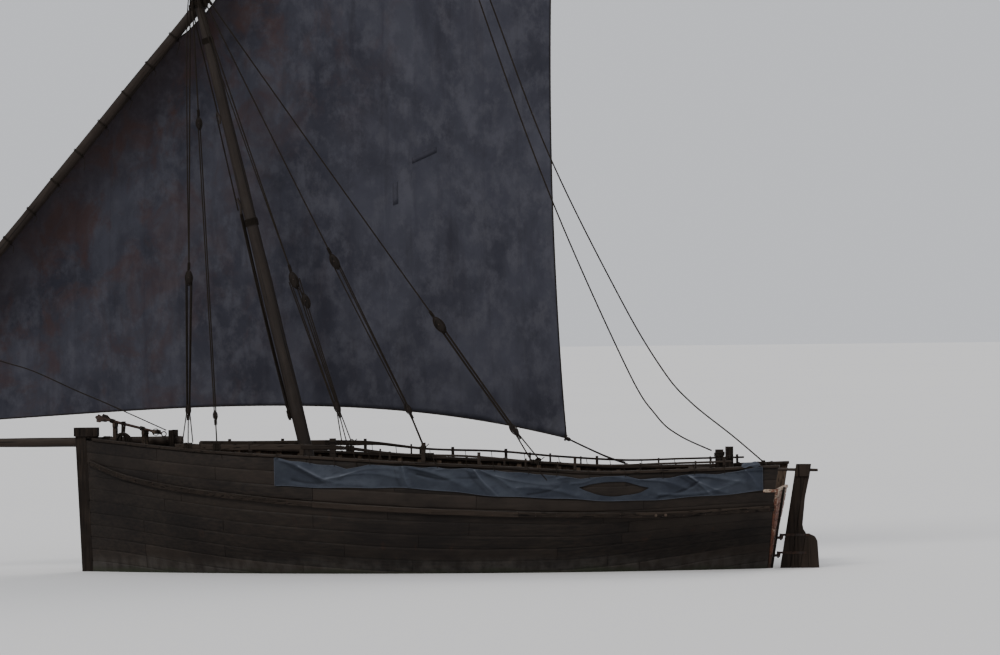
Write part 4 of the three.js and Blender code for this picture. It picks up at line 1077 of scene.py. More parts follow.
def add_vangs():
    """Both vangs, belayed on the quarter bitt and on a cleat on the gunwale."""
    top = yard_point(VANG_START_S) + YARD_DOWN * VANG_BELOW - YARD_SIDE * VANG_BESIDE
    fore = spline([top, *FORE_VANG])
    fore = fore[fore[:, 0] > QUARTER_BITT[0] + BITT_HALF + ROPE_R]
    aft = spline([top, *AFT_VANG])
    aft = aft[aft[:, 2] > gunwale_top(aft[:, 0]) + ROPE_R + 0.05]
    ropes = rope_piece("vang_ropes", [fore, aft], body=None, **THIN, replaces=["vangs"])
    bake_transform(ropes)
    vang_hitch(top, fore)
    vang_belays(aft[-1])


def vang_hitch(top, fore):
    """Turns round the upper spar and the pendant that the vangs hang from."""
    spar_r = float(upper_radius(VANG_START_S))
    centre = upper_point(VANG_START_S)
    from_spar = centre + YARD_DOWN * (spar_r + 0.02) - YARD_SIDE * 0.02
    halfway = (from_spar + top) / 2 - YARD_SIDE * 0.015
    paths = [
        hitch(centre, YARD_ALONG, spar_r, 0.016, 5),
        spline([from_spar, halfway, top, top + (fore[3] - top) * 0.6], 6),
        hitch(top + unit(fore[8] - top) * 0.12, fore[8] - top, ROPE_R * 1.6, 0.009, 7),
    ]
    rope_piece("vang_hitch", paths, 0.016, body="yard")


def vang_belays(aft_end):
    """Turns on the quarter bitt with their tail, and the cleat that takes the aft vang."""
    x, y = QUARTER_BITT
    belay = Shape()
    belay.rope(square_turns(x, y, BITT_HALF, BELAY_Z, 0.014, 3), 0.014, **THIN)
    side = np.array([x - 0.02, y + BITT_HALF + 0.03, 0])
    tail = [side + [0.05, -0.015, 2.4], side + [-0.02, 0.0, 2.28], side + [0.0, 0.01, 2.2]]
    belay.rope(spline(tail, 6), 0.013, **THIN)
    base = np.array([aft_end[0] - 0.03, aft_end[1] + 0.01, float(gunwale_top(aft_end[0]))])
    belay.rope(np.array([aft_end, base + [0.01, 0, 0.05]]), ROPE_R, **THIN)
    for tilt in (0.35, -0.35):
        turns = circle(base + [0, 0, 0.05], [1, tilt, 0], 0.052, 2, 0.06, 20, squeeze=0.62)
        belay.rope(turns, 0.014, **THINNEST)
    belay.build("vang_belays", "rope")
    cleat = Shape()
    arm = [base + [t, 0, 0.06 + 0.45 * t * t] for t in np.linspace(-CLEAT_HALF, CLEAT_HALF, 9)]
    cleat.sweep(np.array(arm), timber_section(0.042, 0.036, 0.012), up=(0, 0, 1), tone=0.5)
    cleat.box(base + [-0.045, -0.022, -0.004], base + [0.045, 0.022, 0.05], tone=0.4, chamfer=0.006)
    cleat.build("vang_cleat", "timber")


def add_bow_line():
    radius = lower_radius(BOW_LINE_S)
    top = yard_point(BOW_LINE_S) + YARD_DOWN * (radius + 0.02)
    path = spline([top, *BOW_LINE])
    rope = rope_piece("bow_line", [path], 0.014, body=None, **THIN)
    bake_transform(rope)
    turns = hitch(yard_point(BOW_LINE_S), YARD_ALONG, float(radius), 0.014, 4)
    rope_piece("bow_line_hitch", [turns], 0.014, body="yard")


def add_sheet():
    """The sheet, a doubled rope from the knot at the clew to the port rail."""
    knot = Shape()
    toward = unit(np.array(SHEET[1]) - np.array(SHEET[0]))
    knot.rope(hitch(np.array(SHEET[0]) + toward * 0.1, toward, 0.024, 0.01, 7), 0.01, **THIN)
    loop = circle(SAIL_CLEW + [0, 0.02, 0], [1, 0.2, 0.3], 0.06, 2, 0.04, 24)
    knot.rope(loop, 0.013, **THIN)
    knot.build("clew_knot", "rope", "yard")
    path = spline(SHEET)
    second = path + np.array([0.05, 0.0, 0.035])
    sheet = rope_piece("main_sheet", [path, second], 0.016, body=None, around=7)
    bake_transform(sheet)


# Timbers along the sides

WALE_LINE = [
    [-7.6, 1.3], [-5.88, 1.216], [-4.5, 1.18], [-1.47, 1.245], [0.84, 1.365],
    [2.47, 1.48], [4.12, 1.65], [5.25, 1.79], [6.37, 2.0], [7.3, 2.3],
]
WALE_HALF = 0.06
WALE_PROUD = 0.075
# Length of the wale whose upper edge gets a pale painted highlight, and the places of two worn plugs in its
# face
WALE_HIGHLIGHT_RUN = [-7.2, -4.5]
WALE_PLUGS = [-5.1, -4.9]
# Stanchions under the top rail: [x, thickness, height of the head above the rail]
STANCHIONS = [
    [-6.3, 0.05, 0.07], [-5.72, 0.035, 0], [-4.6, 0.035, 0], [-3.27, 0.055, 0.09], [-2.92, 0.035, 0],
    [-2.26, 0.04, 0.02], [-1.82, 0.035, 0], [-1.3, 0.06, 0.06], [-0.15, 0.085, 0.22], [0.55, 0.04, 0],
    [0.75, 0.035, 0.03], [1.74, 0.13, 0.13], [2.4, 0.09, 0], [3.5, 0.09, 0.06], [4.6, 0.09, 0.04],
]
# Most that a far-side stanchion's head stands above its rail, and its greatest thickness
LOW_HEAD, THIN_POST = 0.03, 0.06
WALE_ENDS = (-7.29, 7.3)
# How far the painted highlight reaches down from the wale's upper edge, and how much that varies
HIGHLIGHT_DEPTH, HIGHLIGHT_WAVE = 0.046, 0.012
BOLT_SPACING, BOLT_APART = 0.43, 0.028
CAP_AFT_X, CAP_FORE_X = -7.42, {"port": 7.22, "starboard": 6.78}
CAP_WIDTH, CAP_OVERHANG = 0.17, 0.045
wale_line = curve(WALE_LINE)


def band(shape, side, x, y_in, y_out, z_low, z_high, chamfer, tone, seed):
    """A timber along the boat between two breadths and two heights, its corners taken off."""
    worn = 1 + 0.5 * jitter(line(x, y_out, z_high), 1, 5, seed)
    c = np.minimum(chamfer * worn, (y_out - y_in) / 3)
    rows = [
        (y_out - c, z_low), (y_out, z_low + c), (y_out, z_high - c), (y_out - c, z_high),
        (y_in + c, z_high), (y_in, z_high - c), (y_in, z_low + c), (y_in + c, z_low),
    ]
    points = np.stack([line(x, y, z) for y, z in rows], 1)
    points[..., 1] += jitter(points, 0.002, 3, seed + 9)
    points[..., 2] += jitter(points, 0.002, 3, seed + 5)
    points[..., 1] *= side
    shape.grid(points, tone=tone, wrap=True, caps=True)


def stud(shape, centre, normal, radius=0.013):
    """The domed head of a bolt or nail."""
    across, high = path_frames(np.array([centre, centre + normal * 0.01]))
    angle = 2 * math.pi * np.arange(6) / 6
    around = np.cos(angle)[:, None] * across[0] + np.sin(angle)[:, None] * high[0]
    foot = centre - normal * 0.01 + around * radius
    head = centre + normal * radius * 0.4 + around * radius * 0.7
    shape.grid(np.stack([foot, head]), tone=0.2, wrap=True, caps=True)


BUTT_GAP, BUTT_SHIFT = 0.002, 0.35


def lengths(x0, x1, count, rng):
    """Splits a long timber into pieces that butt end to end."""
    cuts = np.linspace(x0, x1, count + 1)
    cuts[1:-1] += [rng.uniform(-BUTT_SHIFT, BUTT_SHIFT) for _ in range(count - 1)]
    return [(a + BUTT_GAP, b - BUTT_GAP) for a, b in zip(cuts, cuts[1:])]


def add_wale(name, side, rng):
    """The wale in three lengths, with its bolts, a painted highlight along its upper edge and two worn
    plugs.
    """
    wale, bolts, edge_highlight, plugs = Shape(), Shape(), Shape(), Shape()
    for k, (a, b) in enumerate(lengths(*WALE_ENDS, 3, rng)):
        x = np.linspace(a, b, 60)
        z = wale_line(x)
        y = breadth_at(x, z)
        tone = rng.uniform(0.2, 0.7)
        band(wale, side, x, y - 0.01, y + WALE_PROUD, z - WALE_HALF, z + WALE_HALF, 0.014, tone, k)
        # Painted highlight: a paler strip (tone 1.0) along the wale's upper edge over this length; worn
        # holds its places.
        worn = np.linspace(max(a, WALE_HIGHLIGHT_RUN[0]), min(b, WALE_HIGHLIGHT_RUN[1]), 40)
        if worn[-1] > worn[0]:
            z, y = wale_line(worn) + WALE_HALF, breadth_at(worn, wale_line(worn)) + WALE_PROUD
            low = z - HIGHLIGHT_DEPTH - HIGHLIGHT_WAVE * np.sin(worn * 5)
            band(edge_highlight, side, worn, y - 0.025, y + 0.003, low, z + 0.003, 0.01, 1.0, k)
        for at in np.arange(a + 0.1, b, BOLT_SPACING):
            for lift in (-BOLT_APART, BOLT_APART):
                height = wale_line(at)
                centre = np.array([at, side * (breadth_at(at, height) + WALE_PROUD), height + lift])
                stud(bolts, centre, np.array([0, side, 0.0]))
    edge_highlight.build("wale_painted_highlight_" + name, "timber")
    for x in WALE_PLUGS:
        z = wale_line(x) - 0.008
        y = breadth_at(x, wale_line(x)) + WALE_PROUD
        rim = np.array([[x, side * (y + out), z] for out in (-0.02, 0.004, 0.013)])
        spar(plugs, rim, np.array([0.03, 0.031, 0.025]), sides=14, rough=0.001)
    plugs.build("wale_plugs_" + name, "beam")
    wale.build("wale_plank_" + name, "timber", replaces=["wale_" + name])
    bolts.build("wale_bolts_" + name, "iron")


def add_gunwale_cap(name, side, rng):
    cap = Shape()
    for k, (a, b) in enumerate(lengths(CAP_AFT_X, CAP_FORE_X[name], 4, rng)):
        x = np.linspace(a, b, 50)
        z = bulwark_top(x)
        y = breadth_at(x, z)
        inner = np.maximum(y - CAP_WIDTH, 0.01)
        tone = rng.uniform(0.2, 0.8)
        band(cap, side, x, inner, y + CAP_OVERHANG, z, z + GUNWALE_HEIGHT, 0.012, tone, k + 3)
    cap.build("gunwale_cap_" + name, "timber", replaces=["gunwale_" + name])


def add_top_rail(name, side, rng):
    rail = Shape()
    for k, (a, b) in enumerate(lengths(RAIL_AFT_X, RAIL_FORE_X, 4, rng)):
        x = np.linspace(a, b, 44)
        z = rail_top(x)
        depth = rail_depth(x)
        y = breadth_at(x, z - depth / 2) - WALL / 2
        half = 0.022 + depth * 0.19
        band(rail, side, x, y - half, y + half, z - depth, z, 0.012, rng.uniform(0.2, 0.8), k + 7)
    for x, size, head in STANCHIONS:
        y = rail_centre(x, side)[1]
        if side < 0:
            size, head = min(size, THIN_POST), min(head, LOW_HEAD)
        foot = np.array([x, y, gunwale_top(x) - 0.01])
        top = np.array([x, y, rail_top(x) + head + 0.012])
        path = np.linspace(foot, top, 7)
        path[:, 0] += jitter(path, 0.004, 6, int(x * 9))
        width = min(0.082, size + 0.015)
        rail.timber(path, width, size, up=(1, 0, 0), tone=rng.uniform(0.1, 0.7), chamfer=0.009)
    rail.build("top_rail_beam_" + name, "timber", replaces=["top_rail_" + name])


def side_timbers():
    for name, side in SIDES.items():
        rng = random.Random(21 + side)
        add_wale(name, side, rng)
        add_gunwale_cap(name, side, rng)
        add_top_rail(name, side, rng)


# Transom, rudder and tiller

TRANSOM_SEAMS = [
    -1.04, -0.7, -0.45, -0.2, 0.05, 0.27, 0.47, 0.66, 0.84, 1.01, 1.18, 1.34, 1.5, 1.62,
]
# How far each row of points of a transom board lies inside its face: only at its rounded edges
BOARD_ROUND = np.array([0.016, 0.004, 0, 0, 0, 0, 0, 0.004, 0.016])
TRANSOM_THICK = 0.058
TRANSOM_CAP_Z = 1.655
CAP_WRAP_X = -7.08


def transom_boards():
    shape = Shape()
    rng = random.Random(3)
    y = np.linspace(-1, 1, 25)
    for low, high in zip(TRANSOM_SEAMS, TRANSOM_SEAMS[1:]):
        middle = np.linspace(low + 0.02, high - 0.02, 5)
        z = np.array([low + 0.001, low + 0.007, *middle, high - 0.007, high - 0.001])
        points = np.stack([
            transom_x(z)[:, None] + BOARD_ROUND[:, None] + 0 * y,
            transom_half(z)[:, None] * y,
            z[:, None] + 0 * y,
        ], -1)
        points[..., 0] += jitter(points, 0.002, 5, int(low * 100))
        inner = points.copy()
        inner[..., 0] = transom_x(z)[:, None] + TRANSOM_THICK
        ring = np.concatenate([points, inner[::-1]], 0)
        shape.grid(ring.transpose(1, 0, 2), tone=rng.uniform(0.2, 0.7), wrap=True, caps=True)
    z0 = TRANSOM_CAP_Z
    half = float(transom_half(z0)) - 0.004
    path = line(transom_x(z0) + 0.027, np.linspace(-half, half, 30), z0)
    path[:, 2] += jitter(path, 0.004, 3, 4)
    shape.timber(path, 0.075, 0.066, tone=0.95, chamfer=0.014)
    for side in SIDES.values():
        x = np.linspace(transom_x(z0) - 0.01, CAP_WRAP_X, 9)
        y = breadth_at(x, 0 * x + z0)
        band(shape, side, x, y - 0.006, y + 0.022, 0 * x + z0 - 0.034, 0 * x + z0 + 0.03, 0.008, 0.95, 4)
    shape.build("transom_planks", "transom", replaces=["transom"])


RUDDER_AFT_EDGE = [
    [-7.5, -1.24], [-7.9, -1.02], [-8.08, -0.56], [-8.13, -0.12], [-8.11, 0.2], [-8.09, 0.55],
    [-8.04, 0.65], [-7.957, 0.695], [-7.853, 0.721], [-7.8, 0.8], [-7.782, 0.9], [-7.841, 1.47],
    [-7.94, 1.92], [-7.975, 2.16],
]
RUDDER_GAP = 0.2
# Seams between the rudder's planks, as distances behind its fore edge
RUDDER_SEAMS = [0.0, 0.215, 0.42, 9.0]
RUDDER_HALF, RUDDER_THINNER = 0.058, 0.004
HINGE_BEHIND = 0.12
PINTLE_HEIGHTS = [-0.78, 0.23, 0.6]
RUDDER_STRAP, TRANSOM_STRAP = (0.01, 0.05), (0.01, 0.055)
TILLER_Z = 2.035
TILLER_AFT, TILLER_LENGTH, TILLER_RISE = 0.55, 2.7, 0.065


def rudder_fore(z):
    return transom_x(z) - RUDDER_GAP


def rudder_planks():
    """Three thick planks side by side, bolted through, and the heavier head that holds the tiller."""
    aft_x, aft_z = np.array(RUDDER_AFT_EDGE).T
    z = np.concatenate([np.linspace(*run) for run in ((-1.228, 0.5, 24), (0.53, 1.0, 20), (1.05, 2.16, 16))])
    fore = rudder_fore(z)
    back = np.interp(z, aft_z, aft_x)
    shape = Shape()
    for k, (start, end) in enumerate(zip(RUDDER_SEAMS, RUDDER_SEAMS[1:])):
        a = fore - start - (0.002 if k else 0)
        b = np.maximum(fore - end + 0.002, back)
        keep = a - b > 0.03
        a, b, zz = a[keep], b[keep], z[keep]
        half = RUDDER_HALF - RUDDER_THINNER * k
        c = 0.01
        rows = [
            (a - c, half), (b + c, half), (b, half - c), (b, -half + c),
            (b + c, -half), (a - c, -half), (a, -half + c), (a, half - c),
        ]
        points = np.stack([line(x, y, zz) for x, y in rows], 1)
        points[..., 1] += jitter(points, 0.0015, 6, k)
        shape.grid(points, tone=0.25 + 0.25 * k, wrap=True, caps=True)
    zz = np.linspace(1.905, 2.155, 8)
    a = rudder_fore(zz) - 0.006
    b = np.interp(zz, aft_z, aft_x) + 0.012
    for side in (-1, 1):
        y0, y1 = side * 0.055, side * 0.094
        bevel = y1 - side * 0.012
        rows = [(a, y0), (a, bevel), (a - 0.012, y1), (b + 0.012, y1), (b, bevel), (b, y0)]
        points = np.stack([line(x, y, zz) for x, y in rows], 1)
        shape.grid(points, tone=0.6, wrap=True, caps=True)
    shape.build("rudder_planks", "post", "rudder", ["rudder"])


def rudder_iron():
    """The straps of the pintles on the rudder and of the gudgeons on the transom, with their bolts."""
    aft_x, aft_z = np.array(RUDDER_AFT_EDGE).T
    iron = Shape()
    for height in PINTLE_HEIGHTS:
        for side in (-1, 1):
            middle = height + 0.086
            x = np.linspace(rudder_fore(middle) + 0.005, rudder_fore(middle) - 0.5, 12)
            x = x[x > np.interp(middle, aft_z, aft_x) + 0.03]
            path = line(x, side * 0.061, middle)
            iron.timber(path, *RUDDER_STRAP, tone=0.4, chamfer=0.003)
            for at in x[1::4]:
                stud(iron, np.array([at, side * 0.066, middle]), np.array([0, side, 0.0]), 0.011)
    iron.build("rudder_straps", "iron", "rudder")
    straps = Shape()
    for height in PINTLE_HEIGHTS[1:]:
        middle = height + 0.028
        for side in (-1, 1):
            y = side * np.linspace(0.07, min(0.5, float(transom_half(middle)) - 0.04), 8)
            path = line(transom_x(middle) - 0.006, y, middle)
            straps.timber(path, *TRANSOM_STRAP, tone=0.4, chamfer=0.003)
            for at in y[1::2]:
                stud(straps, np.array([path[0, 0] - 0.005, at, middle]), np.array([-1.0, 0, 0]), 0.011)
    straps.build("transom_straps", "iron")


def spar(shape, points, radii, sides=28, rough=0.004, seed=0, tone=0.5):
    """A round timber with a slightly uneven, hewn surface."""
    points = np.asarray(points, float)
    across, high = path_frames(points)
    around = round_section(sides)
    radial = around[None, :, 0, None] * across[:, None] + around[None, :, 1, None] * high[:, None]
    radii = np.broadcast_to(radii, (len(points),))[:, None]
    surface = points[:, None] + radial * radii[..., None]
    facets = 0.35 * rough * np.cos(8 * 2 * math.pi * np.arange(sides) / sides)[None]
    uneven = jitter(surface, rough, 3.2, seed) + facets
    uneven[[0, -1]] *= 0.3
    shape.grid(surface + radial * uneven[..., None], tone=tone, wrap=True, caps=True)


def tapered_end(points, radii, length=0.05):
    """Rounds a spar's two ends by adding shrunken rings."""
    points, radii = np.asarray(points, float), np.asarray(radii, float)
    first = unit(points[1] - points[0])
    last = unit(points[-1] - points[-2])
    inset = [points[0] + first * length * 0.3, points[-1] - last * length * 0.3]
    points = np.vstack([points[0], inset[0], points[1:-1], inset[1], points[-1]])
    radii = np.r_[radii[0] * 0.72, radii[0] * 0.96, radii[1:-1], radii[-1] * 0.96, radii[-1] * 0.72]
    return points, radii


def add_tiller():
    pivot = transom_x(TILLER_Z) - HINGE_BEHIND
    t = np.linspace(0, 1, 40)
    x = pivot - TILLER_AFT + TILLER_LENGTH * t
    path = line(x, 0, TILLER_Z - 0.005 + TILLER_RISE * t)
    shape = Shape()
    radii = 0.0295 - 0.006 * t + 0.002 * np.sin(9 * t)
    spar(shape, *tapered_end(path, radii, 0.03), sides=14, rough=0.0015, seed=2)
    shape.build("tiller_bar", "spar", "rudder", ["tiller"])
    rope_piece("tiller_seizing", [hitch(path[32], [1, 0, 0.03], 0.0245, 0.006, 7)], 0.006, body="rudder")


# Mast, yard and bowsprit

# Cleats on the mast: [height, size]; the places of the points along an arm, and how far each stands off
MAST_CLEATS = ((3.33, 1.0), (7.7, 1.1), (9.57, 0.8))
CLEAT_PLACES = (-0.16, -0.13, -0.06, 0, 0.06, 0.13, 0.16)
CLEAT_LIFTS = (0.035, 0.03, 0.012, 0, 0.012, 0.03, 0.035)
# Layers of the rope collar at the hounds: [radius, turns, start above the hounds]
COLLAR_LAYERS = ((0.125, 6.2, 0.02), (0.137, 4.3, 0.05))
COLLAR_TALL = 0.32


def add_mast():
    z = np.linspace(MAST_FOOT_Z, MAST_HEAD_Z, 150)
    shape = Shape()
    path = np.array([mast_point(h) for h in z])
    spar(shape, *tapered_end(path, mast_radius(z)), sides=36, rough=0.005, seed=4)
    for height, size in MAST_CLEATS:
        base = mast_point(height) + np.array([float(mast_radius(height)) + 0.02, 0, 0])
        arm = [base + MAST_LINE * place * size for place in CLEAT_PLACES]
        arm = np.array(arm) + np.outer(CLEAT_LIFTS, [1, 0, -MAST_RAKE])
        shape.sweep(arm, timber_section(0.055, 0.045, 0.012), up=(0, 1, 0), tone=0.6)
    shape.build("mast_spar", "mast", replaces=["mast"])

    collar = Shape()
    for layer, (radius, turns, low) in enumerate(COLLAR_LAYERS):
        path = circle(mast_point(HOUNDS_Z + low), MAST_LINE, radius, turns, COLLAR_TALL - 2 * low, 30, layer)
        collar.rope(path, 0.024 - layer * 0.009, steps=8)
    collar.build("hounds_rope_collar", "rope", replaces=["hounds_collar"])


def serving(name, s, half, base, outer):
    """Rope wound closely round the yard."""
    rope = (outer - base) / 2
    turns = round(2 * half / (2 * rope))
    start = yard_point(s - half + rope)
    path = circle(start, YARD_ALONG, base + rope, turns, 2 * half - 2 * rope, 20)
    shape = Shape()
    shape.rod(path, rope * 1.02, 6)
    shape.build(name, "rope", "yard")


LASHINGS = [13.6, 15.2, 16.8]
LASHING_HALF = 0.125
LASHING_ROPE, LASHING_TURNS, LASHING_PITCH = 0.0085, 14, 0.0179
LOOP_POINTS = 40
# The yard's two servings: place along it, half length, radius under the rope and over it
SERVINGS = {"mast_serving": (YARD_LENGTH, 0.22, 0.112, 0.132), "tack_serving": (0, 0.11, 0.095, 0.118)}


def both_spars_loop(s, grow):
    """The outline of a rope drawn round both spars at s."""
    lower, upper = yard_point(s), upper_point(s)
    r0, r1 = float(lower_radius(s)) + grow, float(upper_radius(s)) + grow
    angle = np.linspace(0, math.pi, LOOP_POINTS // 2)
    low = [lower + YARD_SIDE * r0 * math.cos(a) + YARD_DOWN * r0 * math.sin(a) for a in angle]
    high = [upper - YARD_SIDE * r1 * math.cos(a) - YARD_DOWN * r1 * math.sin(a) for a in angle]
    return np.array(low + high)


def add_yard():
    s = np.linspace(*LOWER_SPAR, 170)
    shape = Shape()
    spar(shape, *tapered_end([yard_point(v) for v in s], lower_radius(s)), sides=32, rough=0.004, seed=6)
    shape.build("yard_lower_timber", "yard", "yard", ["yard_lower_spar"])
    s = np.linspace(*UPPER_SPAR, 120)
    shape = Shape()
    spar(shape, *tapered_end([upper_point(v) for v in s], upper_radius(s)), sides=28, rough=0.003, seed=7)
    shape.build("yard_upper_timber", "yard", "yard", ["yard_upper_spar"])
    for name, measures in SERVINGS.items():
        serving(name, *measures)
    for k, s in enumerate(LASHINGS):
        loops = []
        for turn in range(LASHING_TURNS):
            loop = both_spars_loop(s - LASHING_HALF + LASHING_PITCH * turn, LASHING_ROPE)
            loop += np.linspace(0, 1, len(loop))[:, None] * YARD_ALONG * LASHING_PITCH
            loops.append(loop)
        shape = Shape()
        shape.rod(np.vstack(loops), LASHING_ROPE, 6)
        shape.build(f"spar_lashing_{k + 1}", "rope", "yard", [f"yard_lashing_{k + 1}"])


# Ropes round the bowsprit and its bitts: [x, radius under the rope]
GAMMONING = ((6.98, 0.1), (5.56, 0.112))


def add_bowsprit():
    x = np.linspace(BOWSPRIT_AFT_X, BOWSPRIT_END_X, 90)
    path = line(x, BOWSPRIT_Y, BOWSPRIT_Z)
    shape = Shape()
    spar(shape, *tapered_end(path, bowsprit_radius(x)), sides=30, rough=0.004, seed=9)
    shape.build("bowsprit_spar", "spar", replaces=["bowsprit"])


def add_gammoning():
    gammon = Shape()
    for x, radius in GAMMONING:
        gammon.rope(hitch([x, BOWSPRIT_Y, BOWSPRIT_Z], [1, 0, 0], radius, 0.015, 5), 0.015)
    gammon.build("bowsprit_gammoning", "rope")


# Height of the tack lashing's ropes over the bowsprit's face and over the yard's axis
OVER_SPRIT, OVER_YARD = 0.026, 0.146


def add_tack_lashing():
    """Turns round the bowsprit and round the yard's end, and three pairs of ropes between them."""
    centre = np.array([YARD_TACK[0], BOWSPRIT_Y, BOWSPRIT_Z])
    sprit = float(bowsprit_radius(YARD_TACK[0]))
    lashing = Shape()
    lashing.rope(hitch(centre, [1, 0, 0], sprit, ROPE_R, 4), ROPE_R)
    lashing.rope(hitch(YARD_TACK, YARD_ALONG, 0.1205, ROPE_R * 0.85, 4), ROPE_R * 0.85)
    middle = (centre + YARD_TACK) / 2
    for turn in (-1, 0, 1):
        shift = np.array([0.036 * turn, 0, 0])
        for up, bow in ((1, [0, 0, 0.03 * turn]), (-1, [0.018, 0, 0.0])):
            on_sprit = centre + shift + np.array([0, 0.02, up * (sprit + OVER_SPRIT)])
            on_yard = YARD_TACK + shift + np.array([0, 0.0, -up * OVER_YARD])
            lashing.rope(spline([on_sprit, middle + shift + np.array(bow), on_yard]), ROPE_R * 0.8)
    lashing.build("tack_lashing_rope", "rope", replaces=["tack_lashing"])


SLING_ROPES, SLING_APART = 4, 0.034
SLING_HEAD_Z = MAST_HEAD_Z - 0.25


def yard_slings():
    """The parrel between the yard and the mast, and the halyard's two parts up to the masthead."""
    at_mast = mast_point(YARD_AT_MAST[2])
    toward = unit(at_mast - YARD_AT_MAST)
    mast_r = float(mast_radius(YARD_AT_MAST[2]))
    shape = Shape()
    shape.rope(hitch(YARD_AT_MAST, YARD_ALONG, 0.1345, ROPE_R, 5), ROPE_R)
    shape.rope(hitch(at_mast, MAST_LINE, mast_r, ROPE_R, 5), ROPE_R)
    up = np.cross(toward, YARD_ALONG)
    for k in range(SLING_ROPES):
        place = k - (SLING_ROPES - 1) / 2
        shift = up * (SLING_APART * place)
        a = YARD_AT_MAST + toward * 0.15 + shift * 1.7
        b = at_mast - toward * (mast_r + 0.012) + shift
        shape.rope(spline([a, (a + b) / 2 + YARD_ALONG * 0.012 * place, b], 8), ROPE_R * 0.9)
    waist = (YARD_AT_MAST + toward * 0.13 + at_mast - toward * mast_r) / 2 - toward * 0.03
    shape.rope(circle(waist, toward, 0.075, 3, 0.1, 20, squeeze=0.8), 0.014)
    masthead = mast_point(SLING_HEAD_Z)
    head_r = float(mast_radius(SLING_HEAD_Z))
    shape.rope(hitch(masthead, MAST_LINE, head_r, ROPE_R, 4), ROPE_R)
    low = YARD_AT_MAST - YARD_DOWN * 0.17
    high = masthead + np.array([0, -head_r - 0.03, 0])
    for shift in (-0.025, 0.025):
        shape.rope(np.array([low + YARD_ALONG * shift * 2, high + YARD_ALONG * shift]), ROPE_R)
    shape.build("yard_sling_ropes", "rope", replaces=["yard_sling"])


# The halyard down the mast's fore side: [height, distance from the mast's face]
HALYARD = ((12.75, 0.025), (11.6, 0.06), (9.8, 0.04), (9.55, 0.075), (7.65, 0.09))
# The parts of its fall: [distance from the mast's line, shift aside, sag]
HALYARD_FALLS = ((0.16, 0.0, 0.12), (0.185, 0.03, 0.09), (0.15, -0.03, 0.1))
HALYARD_END = [3.47, 0.06, 5.33]
# Seizings round the mast: [height, turns]
MAST_SEIZINGS = ((7.35, 6), (11.2, 5))


def halyard_fall():
    fall = Shape()
    fore = np.array([1.0, 0, -MAST_RAKE])
    points = [mast_point(z) + fore * (float(mast_radius(z)) + off) for z, off in HALYARD]
    fall.rope(spline(points), ROPE_R)
    for out, aside, drop in HALYARD_FALLS:
        off = fore * out + np.array([0, aside, 0])
        fall.rope(sagging(mast_point(7.57) + off, mast_point(3.4) + off, drop), 0.016)
    fall.rope(sagging(mast_point(7.6) + fore * 0.17, HALYARD_END, 0.05), 0.014)
    fall.rope(hitch(mast_point(3.33) + fore * 0.17, MAST_LINE, 0.03, 0.014, 6), 0.014)
    for z, turns in MAST_SEIZINGS:
        fall.rope(hitch(mast_point(z), MAST_LINE, float(mast_radius(z)), 0.012, turns), 0.012)
    fall.build("halyard_fall", "rope")


# Shroud tackles on the windward side

# Places across a tackle of its ropes, as shares of its spread
PAIRS = (-1.0, -0.62, 0.62, 1.0)
# [foot x, upper block z, lower block z, angle round the mast, ropes, spread above, spread below,
# block size, ends of the ropes to the rail as (x, z) from the foot]
SHROUDS = [
    [4.9, 6.18, 3.42, 30, PAIRS, 0.062, 0.03, 0.9, ((-0.1, 0.03), (0.0, 0.03), (0.12, 0.03))],
    [4.25, 9.43, 3.3, 56, (-1.0, 1.0), 0.017, 0.014, 0.75, ((0.0, 0.03),)],
    [
        1.38, 6.1, 3.45, 100, (-1.0, -0.62, -0.1, 0.62, 1.0), 0.115, 0.05, 1.05,
        ((-0.03, 0.1), (0.06, 0.06), (0.16, 0.03)),
    ],
    [-0.28, 6.47, 3.4, 135, (-1.0, -0.5, 1.0), 0.06, 0.026, 1.0, ((0.11, 0.14), (0.145, 0.19))],
    [-2.45, 5.13, 2.96, 165, PAIRS, 0.036, 0.03, 1.15, ((-0.09, 0.02), (0.09, 0.03))],
]
HALF_BLOCK = 0.165
# Size of the lower block as a share of the upper one
LOWER_BLOCK = 0.72
# How far apart the ropes to the rail are at the lower block, as a share of their spread at the rail
FAN_AT_BLOCK = 0.3
# The tackles whose pendant is doubled
DOUBLE_PENDANTS = (0, 2)
# The third tackle has a second upper block: how far it hangs below the first, how far aft, and its size
DOUBLE_TACKLE = 2
SECOND_BLOCK = (0.52, 0.1, 0.85)
# Where some tackles end in a bundle of turns: [place from the foot on the rail, size]
MADE_FAST = {2: [(-0.02, 0.0, 0.07), 1.0], 3: [(0.12, 0.01, 0.12), 0.85], 4: [(-0.06, 0.03, -0.02), 1.1]}
BUNDLE_TURNS = 8
RAIL_TURNS, RAIL_TURN_PITCH, RAIL_TURN_HALF = 5, 0.034, 0.062
# Profile of a block's sheave: [radius, place along its pin]
SHEAVE = np.array([
    [0.012, 0], [0.045, 0], [0.048, 0.006], [0.038, 0.018], [0.048, 0.03], [0.045, 0.036], [0.012, 0.036],
])


